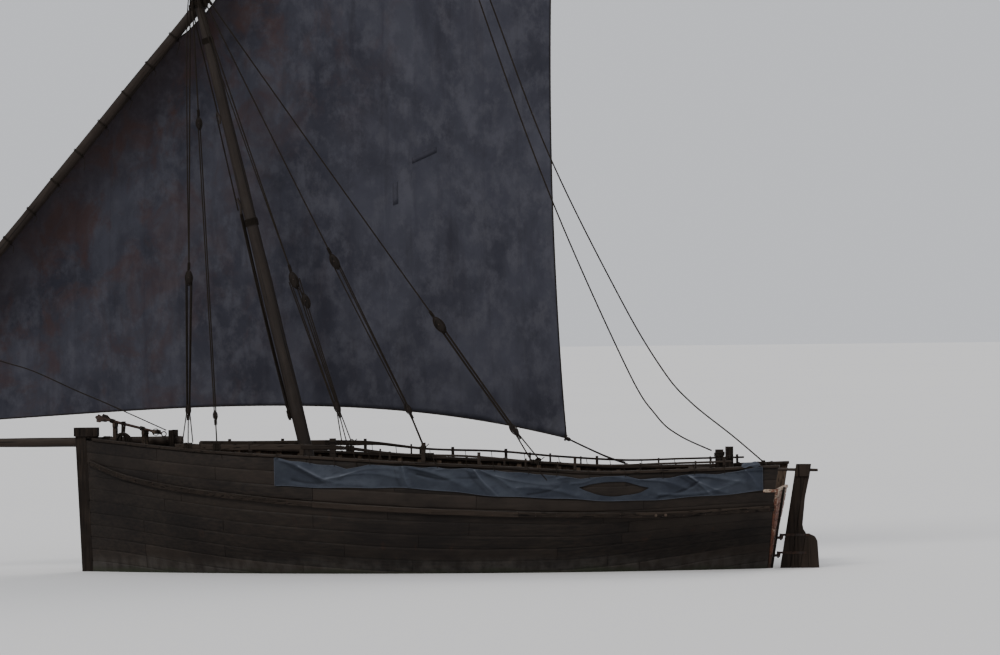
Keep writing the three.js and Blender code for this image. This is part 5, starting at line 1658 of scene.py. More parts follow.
def pulley(wood_shape, rope_shape, iron_shape, centre, along, size):
    """A wooden block: two cheeks, a sheave on its pin, and a rope strop round the shell."""
    along = unit(along)
    across = unit(np.cross(along, [0, 1, 0]))
    pin = np.cross(across, along)
    length, width = 0.155 * size, 0.06 * size
    thick = 0.022 * size
    steps = np.linspace(-1, 1, 13)
    for side in (-1, 1):
        rows = []
        for step in steps:
            w = width * np.sqrt(np.clip(1 - np.abs(step) ** 2.4, 0.02, 1))
            base = centre + along * length * step + pin * side * 0.04 * size
            flat, crown = thick * 0.6, thick * (1 - 0.25 * step**2)
            corners = [
                (-w, -flat), (-w * 0.72, -crown), (w * 0.72, -crown), (w, -flat),
                (w, flat), (w * 0.72, crown), (-w * 0.72, crown), (-w, flat),
            ]
            rows.append([base + across * a + pin * b for a, b in corners])
        wood_shape.grid(np.array(rows), tone=0.4, wrap=True, caps=True)
    wheel = centre - pin * 0.018 * size
    angle = np.linspace(0, 2 * math.pi, 22)[:-1]
    around = np.cos(angle)[:, None] * along + np.sin(angle)[:, None] * across
    sheave = np.array([wheel + pin * depth + around * radius for radius, depth in SHEAVE * size])
    wood_shape.grid(sheave, tone=0.1, wrap=True, caps=True)
    iron_shape.rod(np.array([centre - pin * 0.07 * size, centre + pin * 0.07 * size]), 0.012 * size, 8)
    angle = np.linspace(0, 2 * math.pi, 41)[:, None]
    aside = across * np.sin(angle) * (width + 0.01) * (1 - 0.12 * np.cos(2 * angle))
    strop = centre + along * np.cos(angle) * (length + 0.018) + aside
    for side in (-1, 1):
        rope_shape.rope(strop + pin * side * 0.036 * size, 0.011 * size, loop=True)


def turns_bundle(shape, centre, bulk, seed):
    """A lump of rope where a tackle's end is made fast: turns over each other and a short tail."""
    rng = random.Random(seed)
    for _ in range(BUNDLE_TURNS):
        axis = unit([rng.uniform(-1, 1), rng.uniform(-1, 1), rng.uniform(-0.5, 1.6)])
        shift = [rng.uniform(-0.02, 0.02), rng.uniform(-0.01, 0.01), rng.uniform(-0.03, 0.03)]
        turn = circle(centre + np.array(shift), axis, rng.uniform(0.035, 0.06) * bulk, 1.0, 0.02, 20)
        shape.rope(turn, 0.013, **THIN)
    tail = [centre, centre + [-0.08 * bulk, 0.02, 0.05], centre + [-0.13 * bulk, 0.03, 0.09]]
    shape.rope(spline(tail, 6), 0.011, **THINNEST)


def turns_on_rail(shape, foot, number):
    """Turns of rope round the top rail at a tackle's foot, and the loose tail of the last one."""
    depth = float(rail_depth(foot[0]))
    half = RAIL_TURN_HALF
    wrap = ((half, 0.012), (half, -depth - 0.012), (-half, -depth - 0.012), (-half, 0.012))
    for turn in range(RAIL_TURNS):
        x = foot[0] - 0.07 + turn * RAIL_TURN_PITCH
        loop = np.array([[x, foot[1] + y, rail_top(x) + z] for y, z in wrap])
        shape.rope(spline(np.vstack([loop, loop[:1]]), 4), 0.014, **THIN)
    tail = foot + np.array([-0.08, 0.07, -0.02])
    hang = 0.28 + 0.1 * (number % 3)
    ends = [tail, tail + [-0.03, 0.03, -hang * 0.5], tail + [-0.05 - 0.03 * number, 0.02, -hang]]
    shape.rope(spline(ends, 8), 0.011, **THINNEST)


def add_shroud(i, foot_x, upper_z, lower_z, degrees, ropes, above, below, size, fan):
    """One tackle: pendant, two blocks with the ropes between them, and the ropes to the rail."""
    angle = math.radians(degrees)
    outward = np.array([math.cos(angle), math.sin(angle), -MAST_RAKE * math.cos(angle)])
    foot = rail_centre(foot_x)
    foot[2] = rail_top(foot_x)
    off_mast = float(mast_radius(HOUNDS_Z)) + ROPE_R + 0.006
    start = mast_point(HOUNDS_Z) + outward * off_mast - MAST_LINE * 0.01
    along = unit(foot + np.array([0, 0, 0.03]) - start)
    across = unit(np.cross(along, [0, 1, 0]))
    upper = start + along * ((start[2] - upper_z) / -along[2])
    lower = start + along * ((start[2] - lower_z) / -along[2])
    rope, blocks, iron = Shape(), Shape(), Shape()
    half_block = HALF_BLOCK * size
    top_eye = upper - along * half_block
    rope.rope(sagging(start, top_eye, 0.02), ROPE_R)
    if i in DOUBLE_PENDANTS:
        beside = start + along * 0.9
        halfway = (beside + top_eye) / 2 + across * 0.05
        second = [start + outward * 0.03, beside + across * 0.07, halfway, top_eye]
        rope.rope(spline(second, 16), ROPE_R * 0.8)
    rope.rope(hitch(start + along * 0.35, along, ROPE_R, 0.008, 8), 0.008)
    rope.rope(hitch(top_eye - along * 0.1, along, ROPE_R, 0.008, 9), 0.008)
    pulley(blocks, rope, iron, upper, along, size)
    pulley(blocks, rope, iron, lower, along, size * LOWER_BLOCK)
    if i == DOUBLE_TACKLE:
        down, aft, share = SECOND_BLOCK
        second = upper + along * down + across * aft * (1 if across[0] < 0 else -1)
        pulley(blocks, rope, iron, second, along, size * share)
        rope.rope(np.array([second - along * 0.14, upper + along * 0.12]), 0.014)
    for k, place in enumerate(ropes):
        apart = np.cross(across, along) * (0.015 if k % 2 else -0.015)
        ends = upper + across * above * place + apart, lower + across * below * place + apart
        rope.rope(sagging(*ends, 0.012), 0.0155)
    eye = lower + along * half_block * LOWER_BLOCK
    middle = sum(row[0] for row in fan) / len(fan)
    for spread, lift in fan:
        leaves = eye - along * 0.06 + np.array([(spread - middle) * FAN_AT_BLOCK, 0, 0])
        rope.rope(np.array([leaves, foot + np.array([spread, 0, lift])]), ROPE_R if len(fan) < 3 else 0.015)
    if i in MADE_FAST:
        place, bulk = MADE_FAST[i]
        turns_bundle(rope, foot + np.array(place), bulk, i)
    rope.rope(hitch(eye + along * 0.05, along, ROPE_R, 0.009, 6), 0.009)
    turns_on_rail(rope, foot, i)
    rope.build(f"shroud_ropes_{i + 1}", "rope", replaces=[f"shroud_tackle_{i + 1}"])
    blocks.build(f"shroud_blocks_{i + 1}", "block")
    iron.build(f"shroud_pins_{i + 1}", "iron")


def add_shrouds():
    for i, row in enumerate(SHROUDS):
        add_shroud(i, *row)


# Sail and weather cloths

CLOTH_WIDTHS = 20
SEAM_SHARE, SEAM_RAISED = 0.07, 0.004
SAIL_ROWS = 120
# Places of the sail's columns of points in one cloth's width
SEAM_STEPS = [0.0, 0.02, 0.045, SEAM_SHARE, 0.2, 0.35, 0.5, 0.65, 0.8, 0.93]
FIRST_COLUMN = 0.012
CANVAS_THICK, SAIL_THICK = 0.003, 0.004
# The sail's depth below its head at the leech, roughly
LEECH_DEPTH = 14
# How deep below the head the tuck reaches, and how much of it there is: [place along the yard, share]
HEAD_TUCK_DEPTH = 0.4
HEAD_TUCK = [
    [0.5, 0.4], [1.4, 1.0], [YARD_LENGTH - 1.3, 1.0], [YARD_LENGTH - 0.6, 0.0], [YARD_LENGTH + 0.5, 0.0],
    [YARD_LENGTH + 1.1, 1.0], [16.9, 1.0], [17.2, 0.4], [17.7, 0.6], [18.3, 0.0], [19.4, 0.0],
    [19.9, 1.0], [24.4, 1.0], [24.9, 0.2],
]
head_tuck = straight(HEAD_TUCK)
# Distance between the head's ties, and so between its scallops
TIE_SPACING = 0.8
# The clew's doubled corner: its radius and its tone
CLEW_CORNER, CORNER_TONE = 0.55, 0.72
# Mended tears in the sail: [x, z, columns, rows], found on the row of points in mid height
SAIL_PATCHES = [[0.55, 8.55, 9, 2], [0.98, 7.7, 2, 5]]


def sail_surface(u, v):
    """The sail's cloth before creases, for arrays of shares u from the tack and v from the foot."""
    s = SAIL_TACK_S + (SAIL_PEAK_S - SAIL_TACK_S) * u
    tack, peak = yard_point(SAIL_TACK_S), yard_point(SAIL_PEAK_S)
    leech = SAIL_CLEW + (peak - SAIL_CLEW) * v[..., None]
    leech[..., 0] += LEECH_HOLLOW * 4 * v * (1 - v)
    point = tack + (leech - tack) * u[..., None]
    w = u ** FOOT_HOLLOW_POWER
    point[..., 2] += FOOT_HOLLOW * 4 * w * (1 - w) * (1 - v) ** 3
    belly = np.sin(math.pi * np.clip(u, 0, 1) ** 0.8) * (1 - v**2) * (0.7 + 0.6 * v)
    point[..., 1] -= SAIL_BELLY * belly
    return point + YARD_DOWN * (v**3 * head_offset(s))[..., None]


def tuck_head(points, u, v, s):
    """Draws the head of the sail up against the leeward side of the spars, but not at the mast."""
    from_head = (1 - v) * u * LEECH_DEPTH
    near = np.exp(-((from_head / HEAD_TUCK_DEPTH) ** 2))
    radius = np.where(s > LOWER_SPAR[1], upper_radius(s), lower_radius(s))
    tuck = head_tuck(s) * near
    points += YARD_SIDE * (tuck * (radius + 0.012))[..., None]
    return points - YARD_DOWN * (tuck * radius * 0.75)[..., None]


def sail_columns():
    cloths = [(k + step) / CLOTH_WIDTHS for k in range(CLOTH_WIDTHS) for step in SEAM_STEPS]
    return np.array([u for u in cloths if u > FIRST_COLUMN] + [1.0])


def thicken(obj, thickness):
    solid = obj.modifiers.new("Canvas", "SOLIDIFY")
    solid.thickness = thickness
    solid.offset = 0


def corner_pulls(distance, angle, height, reach, soft):
    """Ripples that run out from a corner and fade with the distance from it."""
    return height * np.exp(-distance / reach) * np.sin(angle) * np.clip(distance / soft, 0, 1)


def sail_relief(points, u, v, share, s):
    """How far the sail stands to windward of its smooth surface: seams, scallops, pulls and slack."""
    across = np.clip((share - SEAM_SHARE) / (1 - SEAM_SHARE), 0, 1)
    puff = 0.012 * np.sin(math.pi * across)
    seam = np.where(share <= SEAM_SHARE, SEAM_RAISED, 0.0)
    under_head = np.exp(-((1 - v) * 12 * u) / 0.9)
    scallop = np.sin(math.pi * s / TIE_SPACING) ** 2
    creases = 0.03 * under_head * scallop * (1 - under_head**8)
    clew = np.linalg.norm(points - SAIL_CLEW, axis=-1)
    bearing = np.arctan2(points[..., 2] - SAIL_CLEW[2], points[..., 0] - SAIL_CLEW[0])
    pulls = corner_pulls(clew, bearing * 19 + 0.6 * np.sin(clew * 1.3), 0.035, 3.2, 0.6)
    tack = np.linalg.norm(points - yard_point(SAIL_TACK_S), axis=-1)
    pulls += corner_pulls(tack, v * 26 + 0.5 * np.sin(tack * 2), 0.025, 2.4, 0.5)
    slack = jitter(points * [1, 0.3, 0.45], 0.03, 0.9, 3) + jitter(points * [1, 0.3, 0.5], 0.012, 2.7, 13)
    rim = np.clip(np.minimum(np.minimum(1 - u, v) * 14, (1 - v) * 14), 0, 1)
    return puff * rim - seam + creases + pulls + slack * rim, scallop, clew


def sail_tone(u, share, clew, rng):
    """Each cloth's own tone, darker seams and the paler corner at the clew."""
    tones = [0.5 + rng.uniform(-0.08, 0.08) for _ in range(CLOTH_WIDTHS)]
    tone = np.array(tones)[np.minimum((u * CLOTH_WIDTHS).astype(int), CLOTH_WIDTHS - 1)]
    tone = np.where(share <= SEAM_SHARE, 0.38, tone)
    corner = np.clip((CLEW_CORNER - clew) * 12, 0, 1)
    return tone + (CORNER_TONE - tone) * corner


def sail_patches(points, normal):
    patches = Shape()
    for x, z, wide, tall in SAIL_PATCHES:
        i = int(np.argmin(np.abs(points[:, SAIL_ROWS // 2, 0] - x)))
        j = int(np.argmin(np.abs(points[i, :, 2] - z)))
        part = slice(i, i + wide), slice(j, j + tall)
        patches.grid(points[part] + normal[part] * 0.006, tone=0.28)
    piece = patches.build("sail_patches", "sail", "yard", sharp=60, outward=False)
    thicken(piece, CANVAS_THICK)
    return piece


def sail_bolt_rope(points):
    edges = Shape()
    for edge in (points[:, 0], points[-1], points[:, -1]):
        edges.rope(edge, 0.016, **THIN)
    return edges.build("sail_bolt_rope", "rope", "yard")


def sail_robands(rng):
    """The ties of the sail's head round the yard, each with a loose end."""
    ties = Shape()
    for at in np.arange(SAIL_TACK_S + 0.3, SAIL_PEAK_S, TIE_SPACING):
        on_upper = at > LOWER_SPAR[1]
        centre = upper_point(at) if on_upper else yard_point(at)
        if abs(at - YARD_LENGTH) < 0.4:
            continue
        radius = float(upper_radius(at) if on_upper else lower_radius(at))
        if not on_upper and at > UPPER_SPAR[0]:
            loops = [both_spars_loop(at + 0.024 * k, 0.012) for k in (0, 1)]
            path = np.vstack([*loops, loops[-1][:1]])
        else:
            path = circle(centre, YARD_ALONG, radius + 0.012, 2.0, 0.05, 18)
        ties.rope(path, 0.0115, **THINNEST)
        hang = centre + YARD_DOWN * (radius + 0.015)
        swing = rng.uniform(-0.06, 0.06)
        length = rng.uniform(0.12, 0.3)
        tail = [hang, hang + YARD_DOWN * 0.06 - YARD_SIDE * 0.03, hang + np.array([swing, 0.03, -length])]
        ties.rope(spline(tail, 6), 0.008, **THINNEST)
    return ties.build("sail_robands", "rope", "yard")


def add_sail():
    rows = np.linspace(0, 1, SAIL_ROWS + 1)
    u, v = np.meshgrid(sail_columns(), rows, indexing="ij")
    points = sail_surface(u, v)
    normal = np.cross(np.gradient(points, axis=0), np.gradient(points, axis=1))
    normal /= np.linalg.norm(normal, axis=-1)[..., None] + 1e-12
    normal *= np.sign(normal[..., 1:2] + 1e-9)
    share = (u * CLOTH_WIDTHS) % 1
    s = SAIL_TACK_S + (SAIL_PEAK_S - SAIL_TACK_S) * u
    move, scallop, clew = sail_relief(points, u, v, share, s)
    points = points - normal * move[..., None]
    points += YARD_DOWN * (0.012 * scallop * v**24)[..., None]
    points = tuck_head(points, u, v, s)

    rng = random.Random(12)
    shape = Shape()
    shape.grid(points, tone=sail_tone(u, share, clew, rng))
    sail = shape.build("sail_canvas", "sail", "yard", ["sail"], sharp=60, outward=False)
    thicken(sail, SAIL_THICK)
    patches = sail_patches(points, normal)
    bolt_rope = sail_bolt_rope(points)
    robands = sail_robands(rng)


# Droop of the port weather cloth's top edge below the bulwark's top: [x, drop]
CLOTH_DROOP = [
    [-7.08, -0.05], [-6.8, -0.03], [-6.6, 0.01], [-6.2, 0.05], [-5.6, 0.03], [-5.1, 0.1],
    [-4.6, 0.09], [-4.3, 0.03], [-3.9, 0.03], [-3.4, 0.08], [-3.0, 0.05], [-2.2, 0.04],
    [-1.5, 0.01], [0.0, 0.015], [0.4, 0.02], [1.0, 0.03], [1.3, 0.1], [1.45, 0.14],
    [1.7, 0.1], [2.3, 0.06], [2.7, 0.02], [2.98, 0.0],
]
# Folds of the port weather cloth from one point to another, the share going from the top down:
# [x, share, x, share, half width, height]
CLOTH_FOLDS = [
    [2.88, 0.1, 1.85, 0.75, 0.06, 0.016], [2.47, 0.25, 1.02, 0.92, 0.05, 0.014],
    [1.85, 0.55, 0.4, 0.5, 0.05, 0.016], [2.6, 0.8, 1.6, 0.62, 0.04, -0.012],
    [1.54, 0.35, 0.4, 0.15, 0.05, 0.014], [0.3, 0.0, 0.16, 0.95, 0.035, 0.02],
    [0.16, 0.05, -1.04, 0.75, 0.05, 0.017], [0.0, 0.3, -1.24, 0.36, 0.03, -0.012],
    [-0.42, 0.1, -1.2, 0.1, 0.035, 0.012], [-1.2, 0.0, -1.66, 1.0, 0.04, 0.02],
    [-1.33, 0.0, -2.07, 0.8, 0.035, 0.015], [-1.66, 0.2, -2.9, 0.35, 0.04, 0.014],
    [-2.07, 0.65, -3.4, 0.85, 0.05, 0.015], [-2.3, 0.95, -2.9, 0.5, 0.03, -0.01],
    [-2.9, 0.1, -4.54, 0.1, 0.04, 0.012], [-3.2, 0.25, -3.7, 0.05, 0.04, 0.014],
    [-4.54, 0.05, -5.57, 0.6, 0.045, 0.016], [-4.95, 0.8, -6.6, 0.45, 0.05, 0.015],
    [-5.57, 0.0, -6.02, 0.95, 0.035, 0.018], [-5.61, 0.05, -6.35, 0.85, 0.03, 0.015],
    [-5.62, 0.08, -6.7, 0.6, 0.03, 0.014], [-5.78, 0.3, -4.95, 0.95, 0.035, -0.012],
    [-6.7, 0.0, -6.97, 0.9, 0.045, 0.016],
]
CLOTH_AFT_X, CLOTH_FORE_X = -7.08, 2.98
CLOTH_COLUMNS = 500
CLOTH_ROWS = 18
CLOTH_TIES, TIE_STEP = 16, 0.66
# The opening between the port cloth's two halves: its middle and half length, how far the upper edge is
# drawn up and the lower one hangs down, and its height as a share of the cloth's depth
OPENING_X, OPENING_HALF, OPENING_UP, OPENING_DOWN, OPENING_SHARE = -4.07, 0.71, 0.1, 0.2, 0.42
# Least and most that the cloth stands off the planking
CLOTH_OFF = (0.01, 0.088)
# The bunched end of the port cloth: where it starts, its length aft of there, and its size
BUNCH_X, BUNCH_LENGTH, BUNCH_SIZE = -6.66, 0.38, 0.045


def starboard_folds(rng):
    """Folds of the other cloth, of the same kinds at seeded places."""
    folds = []
    for x in np.arange(-6.9, 2.6, 0.42):
        run = rng.uniform(0.2, 1.1) * rng.choice([-1, 1])
        x1 = float(np.clip(x + run, -7.0, 2.9))
        low, high = rng.uniform(0.0, 0.35), rng.uniform(0.5, 1.0)
        width = rng.uniform(0.03, 0.06)
        folds.append([x, low, x1, high, width, rng.uniform(0.01, 0.02) * rng.choice([1, 1, -1])])
    return folds


def folded(x, z, top, foot, folds):
    """How far the folds lift the cloth at each point: each is steep below and runs out softly above."""
    lift = np.zeros_like(z)
    flat = np.stack([x, 0 * x, z * 1.6], -1)
    bent_x = x + jitter(flat, 0.05, 2.4, 71)
    bent_z = z + jitter(flat, 0.035, 3.1, 72)
    for k, (x0, share0, x1, share1, width, height) in enumerate(folds):
        ends = []
        for at, share in ((x0, share0), (x1, share1)):
            high, low = np.interp(at, x[0], top), np.interp(at, x[0], foot)
            ends.append(np.array([at, high + (low - high) * share]))
        along = ends[1] - ends[0]
        length = np.hypot(*along)
        along /= length
        below = np.array([along[1], -along[0]])
        below *= -np.sign(below[1] + 1e-9)
        run = (bent_x - ends[0][0]) * along[0] + (bent_z - ends[0][1]) * along[1]
        aside = (bent_x - ends[0][0]) * below[0] + (bent_z - ends[0][1]) * below[1]
        past = run - np.clip(run, 0, length)
        share = np.clip(run / length, 0, 1)
        bow = 0.05 * length * np.sin(math.pi * share) * (1 if k % 2 else -1)
        grown = width * (0.6 + 0.8 * share)
        distance = np.hypot((aside - bow) / np.where(aside > bow, 0.55, 1.25), past)
        steep, soft = (np.exp(-((distance / (spread * grown)) ** 2)) for spread in (0.7, 2.2))
        ridge = 0.6 * steep + 0.4 * soft
        lift += 1.9 * height * ridge * (1 - 0.35 * share)
    return lift


def cloth_outline(x, side, ties):
    """Heights of a weather cloth's top, of the two edges in mid depth and of its foot, and its sag."""
    index = np.clip(np.searchsorted(ties, x), 1, len(ties) - 1)
    phase = np.clip((x - ties[index - 1]) / (ties[index] - ties[index - 1]), 0, 1)
    sag = 4 * phase * (1 - phase)
    droop = straight(CLOTH_DROOP)(x if side > 0 else CLOTH_AFT_X + CLOTH_FORE_X - x)
    top = bulwark_top(x) - 0.012 - droop - 0.018 * sag
    top += 0.008 * np.sin(x * 9 + 2 * np.sin(x * 2.3))
    foot = cloth_foot(x) + 0.014 * np.sin(x * 2.1 + 1) + 0.008 * np.sin(x * 5.3)
    middle = top + (foot - top) * OPENING_SHARE
    open_share = np.clip(1 - ((x - OPENING_X) / OPENING_HALF) ** 2, 0, 1) if side > 0 else 0 * x
    return top, middle + OPENING_UP * open_share, middle - OPENING_DOWN * open_share, foot, sag


def cloth_hems(name, points):
    hems = Shape()
    # Tone 0.7 paints the hems paler than the cloth: a painted highlight along them.
    for edge in (points[-1, ::3], points[0, ::3], points[:, 0], points[:, -1]):
        hems.rod(edge, 0.006, 6, tone=0.7)
    return hems.build("cloth_hems_" + name, "cloth")


def cloth_bunch():
    """The end of the port cloth, gathered in a roll on the gunwale by the quarter."""
    t = np.linspace(0, 1, 40)
    x = BUNCH_X - BUNCH_LENGTH * t
    top = gunwale_top(x)
    path = line(x, breadth_at(x, top) + 0.045, top + 0.012 + 0.025 * np.sin(3 * t))
    angle = np.linspace(0, 2 * math.pi, 41)[:-1]
    lobes = 1 + 0.22 * np.cos(5 * angle) + 0.1 * np.sin(9 * angle)
    section = np.stack([np.cos(angle) * lobes, np.sin(angle) * lobes], 1)
    size = BUNCH_SIZE * np.sqrt(np.clip(1 - (2 * t - 1) ** 4, 0.03, 1)) * (1 + 0.2 * np.sin(11 * t))
    bunch = Shape()
    # Tone 0.72 paints the whole roll paler: a painted highlight.
    bunch.sweep(path, section, up=(0, 0, 1), scale=size, turn=1.6 * t, tone=0.72)
    return bunch.build("cloth_bunch_port", "cloth", sharp=70)


def cloth_lacing(name, side, ties, x, top):
    """A tie from the cloth's upper edge over the gunwale to the top rail, at each of its places."""
    lacing = Shape()
    for at in ties:
        z0, z1 = np.interp(at, x, top) - 0.015, gunwale_top(at) + 0.008
        y0 = breadth_at(at, z0)
        end_z = rail_top(at) - 0.02 if RAIL_AFT_X < at < RAIL_FORE_X else z1
        loop = np.array([
            [at, y0 + 0.05, z0], [at + 0.01, y0 + 0.055, z1 - 0.02], [at + 0.02, y0 + 0.03, z1],
            [at + 0.03, y0 - 0.06, z1], [at + 0.05, y0 - 0.07, end_z],
        ])
        loop[:, 1] *= side
        lacing.rod(spline(loop, 5), 0.007, 6)
    return lacing.build("cloth_lacing_" + name, "rope")


def weld(obj):
    """Joins the points that two halves of a cloth share."""
    joined = bmesh.new()
    joined.from_mesh(obj.data)
    bmesh.ops.remove_doubles(joined, verts=joined.verts, dist=0.0005)
    bmesh.ops.recalc_face_normals(joined, faces=joined.faces)
    joined.to_mesh(obj.data)
    joined.free()


def weather_cloths():
    """Long cloths hung along the bulwarks, creased and drooping between their ties."""
    for name, side in SIDES.items():
        rng = np.random.default_rng(31 + side)
        x = np.linspace(CLOTH_AFT_X, CLOTH_FORE_X, CLOTH_COLUMNS)
        places = np.arange(-7.0, CLOTH_FORE_X, TIE_STEP) + rng.uniform(-0.14, 0.14, CLOTH_TIES)
        ties = np.sort(places)
        top, low_edge, high_edge, foot, sag = cloth_outline(x, side, ties)
        j = np.linspace(0, 1, CLOTH_ROWS)[:, None]
        z = np.concatenate([top + (low_edge - top) * j, high_edge + (foot - high_edge) * j])
        share = np.concatenate([j, 1 + j]) / 2
        xx = np.broadcast_to(x, z.shape)
        flat = np.stack([xx, 0 * xx, z], -1)
        folds = CLOTH_FOLDS if side > 0 else starboard_folds(rng)
        lift = folded(xx, z, top, foot, folds)
        gathers = 0.008 * np.exp(-share * 4) * np.sin(xx * 34 + 2.2 * np.sin(xx * 3.1)) * (0.4 + 0.6 * sag)
        broad = jitter(flat * [1, 1, 2.2], 0.008, 2.6, 40 + side)
        broad = broad + jitter(flat * [1.4, 1, 1.6], 0.0035, 9, 44 + side)
        raised = np.clip((bulwark_top(xx) - 0.03 - z) / 0.03, 0, 1)
        off = np.clip(0.03 + lift + gathers + broad, *CLOTH_OFF)
        off = off + (0.03 + np.clip(0.04 - off, 0, 1)) * (1 - raised) * (xx < -6.3)
        points = np.stack([xx, side * (breadth_at(xx, z) + off), z], -1)
        # The tone carries painted light: a painted highlight along the lower hem, painted highlights on the
        # folds' ridges, painted shade beside them and in dents, and random variation.
        hem_highlight = 0.28 * np.exp(-(((share - 0.985) / 0.02) ** 2)) * (0.6 + 0.4 * np.sin(xx * 1.7 + side))
        fold_light_and_shade = lift - 0.5 * (np.roll(lift, 3, axis=0) + np.roll(lift, 9, axis=1))
        tone = 0.36 + hem_highlight + 6 * lift + 9 * fold_light_and_shade + jitter(flat, 0.1, 1.7, 90 + side)
        halves = slice(0, CLOTH_ROWS), slice(CLOTH_ROWS, None)
        shape = Shape()
        for half in halves:
            shape.grid(points[half], tone=tone[half])
        cloth = shape.build(
            "weather_canvas_" + name, "cloth",
            replaces=["weather_cloth_" + name], sharp=60, outward=False,
        )
        weld(cloth)
        thicken(cloth, CANVAS_THICK)
        hems = cloth_hems(name, points)
        bunched = [cloth_bunch()] if side > 0 else []
        lacing = cloth_lacing(name, side, ties, x, top)


# Anchor, its coil of cable, and the knee under the stem's head

ANCHOR_ALONG = unit([1, 0, 0.2556])
ANCHOR_CROWN = np.array([7.09, 0.28, 3.27])
ANCHOR_TAIL = np.array([5.7, 0.28, 3.27 - 0.2556 * 1.39])
ARM_REACH, ARM_ANGLE = 0.43, 1.05
# Outline of a fluke: [along the arm, across it]
FLUKE = [(-0.1, 0.0), (-0.06, 0.085), (0.05, 0.075), (0.17, 0.0), (0.05, -0.075), (-0.06, -0.085)]
FLUKE_HALF = 0.007
STOCK_HALF, STOCK_FROM_TAIL = 0.33, 0.12
ANCHOR_LASHING_X = (6.7, 6.06)
COIL_MIDDLE = np.array([6.52, 0.37, 2.65])
COIL_TURNS, COIL_ROPE = 11, 0.0155
# Half width and half height of the coil's first turn, how much each next one grows, and how it drops
COIL_WIDE, COIL_WIDER, COIL_TALL, COIL_TALLER, COIL_DROP = 0.035, 0.021, 0.25, 0.011, 0.012 * 0.6
# Height of the underside of the stem's head, which the knee carries
STEM_HEAD_FOOT = 2.861
KNEE_X, KNEE_HALF = (7.134, 7.369), 0.075


def shank_point(x):
    return ANCHOR_CROWN + ANCHOR_ALONG * ((x - ANCHOR_CROWN[0]) / ANCHOR_ALONG[0])


def add_anchor():
    """An iron anchor with two flukes and a wooden stock, laid along the foredeck's edge."""
    shape = Shape()
    t = np.linspace(0, 1, 24)
    shank = ANCHOR_TAIL + np.outer(t, ANCHOR_CROWN - ANCHOR_TAIL)
    spar(shape, shank, 0.027 + 0.006 * t, 14, 0.0015, 3)
    angle = np.linspace(0, ARM_ANGLE, 14)
    back = np.outer(ARM_REACH * (1 - np.cos(angle)), ANCHOR_ALONG)
    for side in (-1, 1):
        arm = ANCHOR_CROWN - back + np.outer(side * ARM_REACH * np.sin(angle), [0, 1, 0])
        spar(shape, arm, np.interp(angle, [0, 0.8, ARM_ANGLE], [0.034, 0.028, 0.012]), 12, 0.001, 5)
        direction = unit(arm[-1] - arm[7])
        face = np.cross(direction, np.cross(ANCHOR_ALONG, [0, 1, 0]))
        flat = unit(np.cross(direction, face))
        ring = np.array([
            [arm[9] + direction * a + flat * b + unit(face) * h for a, b in FLUKE]
            for h in (-FLUKE_HALF, FLUKE_HALF)
        ])
        shape.grid(ring, wrap=True, caps=True, tone=0.4)
    eye = ANCHOR_TAIL - ANCHOR_ALONG * 0.045
    shape.rod(circle(eye, [0, 1, 0], 0.05, 1, 0, 24), 0.012, 8, loop=True)
    shape.build("anchor_iron", "iron", replaces=["anchor"])

    stock = Shape()
    at = ANCHOR_TAIL + ANCHOR_ALONG * STOCK_FROM_TAIL
    y = np.linspace(-STOCK_HALF, STOCK_HALF, 20)
    path = line(at[0], at[1] + y, at[2] + 0.004)
    width = 0.046 - 0.014 * np.abs(y / STOCK_HALF) ** 1.5
    stock.sweep(path, timber_section(2, 2, 0.35), up=(0, 0, 1), scale=width)
    stock.build("anchor_stock", "beam")

    lashing = Shape()
    for x in ANCHOR_LASHING_X:
        lashing.rope(hitch(shank_point(x) + ANCHOR_ALONG * 0.06, ANCHOR_ALONG, 0.033, 0.009, 5), 0.009)
    lashing.rope(hitch(at + [0, 0.07, 0], [0, 1, 0], 0.062, 0.008, 4), 0.008)
    lashing.build("anchor_lashings", "rope")


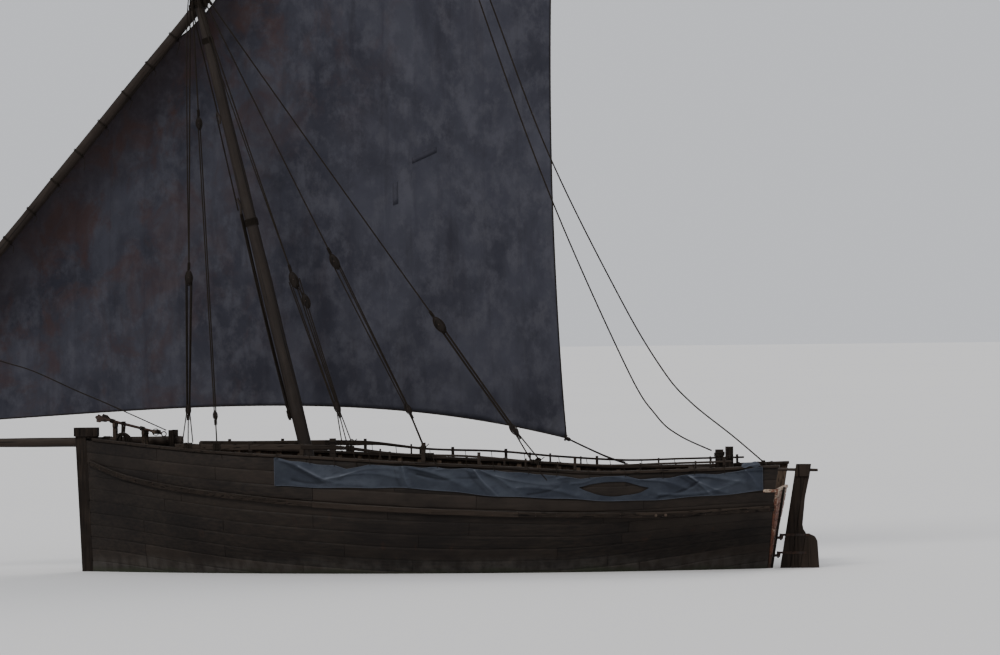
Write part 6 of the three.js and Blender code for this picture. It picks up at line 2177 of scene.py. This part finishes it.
def add_cable_coil():
    """A hank of cable hung from the anchor's shank by a few turns."""
    coil = Shape()
    rng = random.Random(8)
    angle = np.linspace(0, 2 * math.pi, 49)
    for k in range(COIL_TURNS):
        wide, tall = COIL_WIDE + COIL_WIDER * k, COIL_TALL + COIL_TALLER * k
        loop = line(wide * np.sin(angle), 0, tall * np.cos(angle))
        loop[:, 0] *= 1 + 0.25 * (np.cos(angle) < 0)
        loop[:, 0] += jitter(loop, 0.012, 4.0, k)
        loop += COIL_MIDDLE + [0, rng.uniform(-0.02, 0.02), -COIL_DROP * k]
        loop[-1] = loop[0]
        coil.rope(loop, COIL_ROPE, **THIN)
    coil.rope(hitch(COIL_MIDDLE + [0, 0, 0.06], [0, 0, 1], 0.06, 0.012, 4), 0.012)
    hung = shank_point(COIL_MIDDLE[0])
    for shift in (-0.03, 0.0, 0.03):
        path = [
            COIL_MIDDLE + [0, 0, 0.22], hung + [0, 0.05, 0], hung + [0, 0, 0.047], hung + [0, -0.05, 0],
            COIL_MIDDLE + [0, -0.03, 0.24],
        ]
        coil.rope(spline(np.array(path) + [shift, 0, 0], 6), 0.011, steps=5)
    coil.build("cable_coil", "rope")


def add_stem_knee():
    knee = Shape()
    foot = float(gunwale_top(7.2)) + 0.001
    knee.box([KNEE_X[0], -KNEE_HALF, foot], [KNEE_X[1], KNEE_HALF, STEM_HEAD_FOOT], 0.4, 0.008)
    knee.build("stem_knee", "post")


# Materials of the solids that stay as they are

WORN_TIMBER, WORN_IRON = 0.009, 0.004
KEPT = {
    "beam": [
        "beam_fore", "beam_mast", "beam_middle", "beam_hold_aft", "beam_aft", "anchor_rest_fore",
        "anchor_rest_aft",
    ],
    "post": [
        "stem_post", "stern_post", "bowsprit_bitts", "quarter_bitt_port", "quarter_bitt_starboard",
        "mast_step",
    ],
    "timber": ["keel"],
    "iron": [f"{kind}_{i}" for kind in ("gudgeon", "pintle") for i in (1, 2, 3)],
}


def dress_solids():
    for look, names in KEPT.items():
        for name in names:
            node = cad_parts[name]
            for slot in node.material_slots:
                slot.material = LOOKS[look]
            edge = node.modifiers.new("Worn_edges", "BEVEL")
            edge.width = WORN_IRON if look == "iron" else WORN_TIMBER
            edge.segments = 2
            edge.limit_method = "ANGLE"
            edge.angle_limit = math.radians(40)


add_camera()
add_vangs()
add_bow_line()
add_sheet()
add_floor()
add_light()
planking()
frames_inside()
decks()
side_timbers()
transom_boards()
rudder_planks()
rudder_iron()
add_tiller()
add_mast()
add_yard()
add_bowsprit()
add_tack_lashing()
add_gammoning()
yard_slings()
halyard_fall()
add_shrouds()
add_sail()
weather_cloths()
add_anchor()
add_cable_coil()
add_stem_knee()
dress_solids()
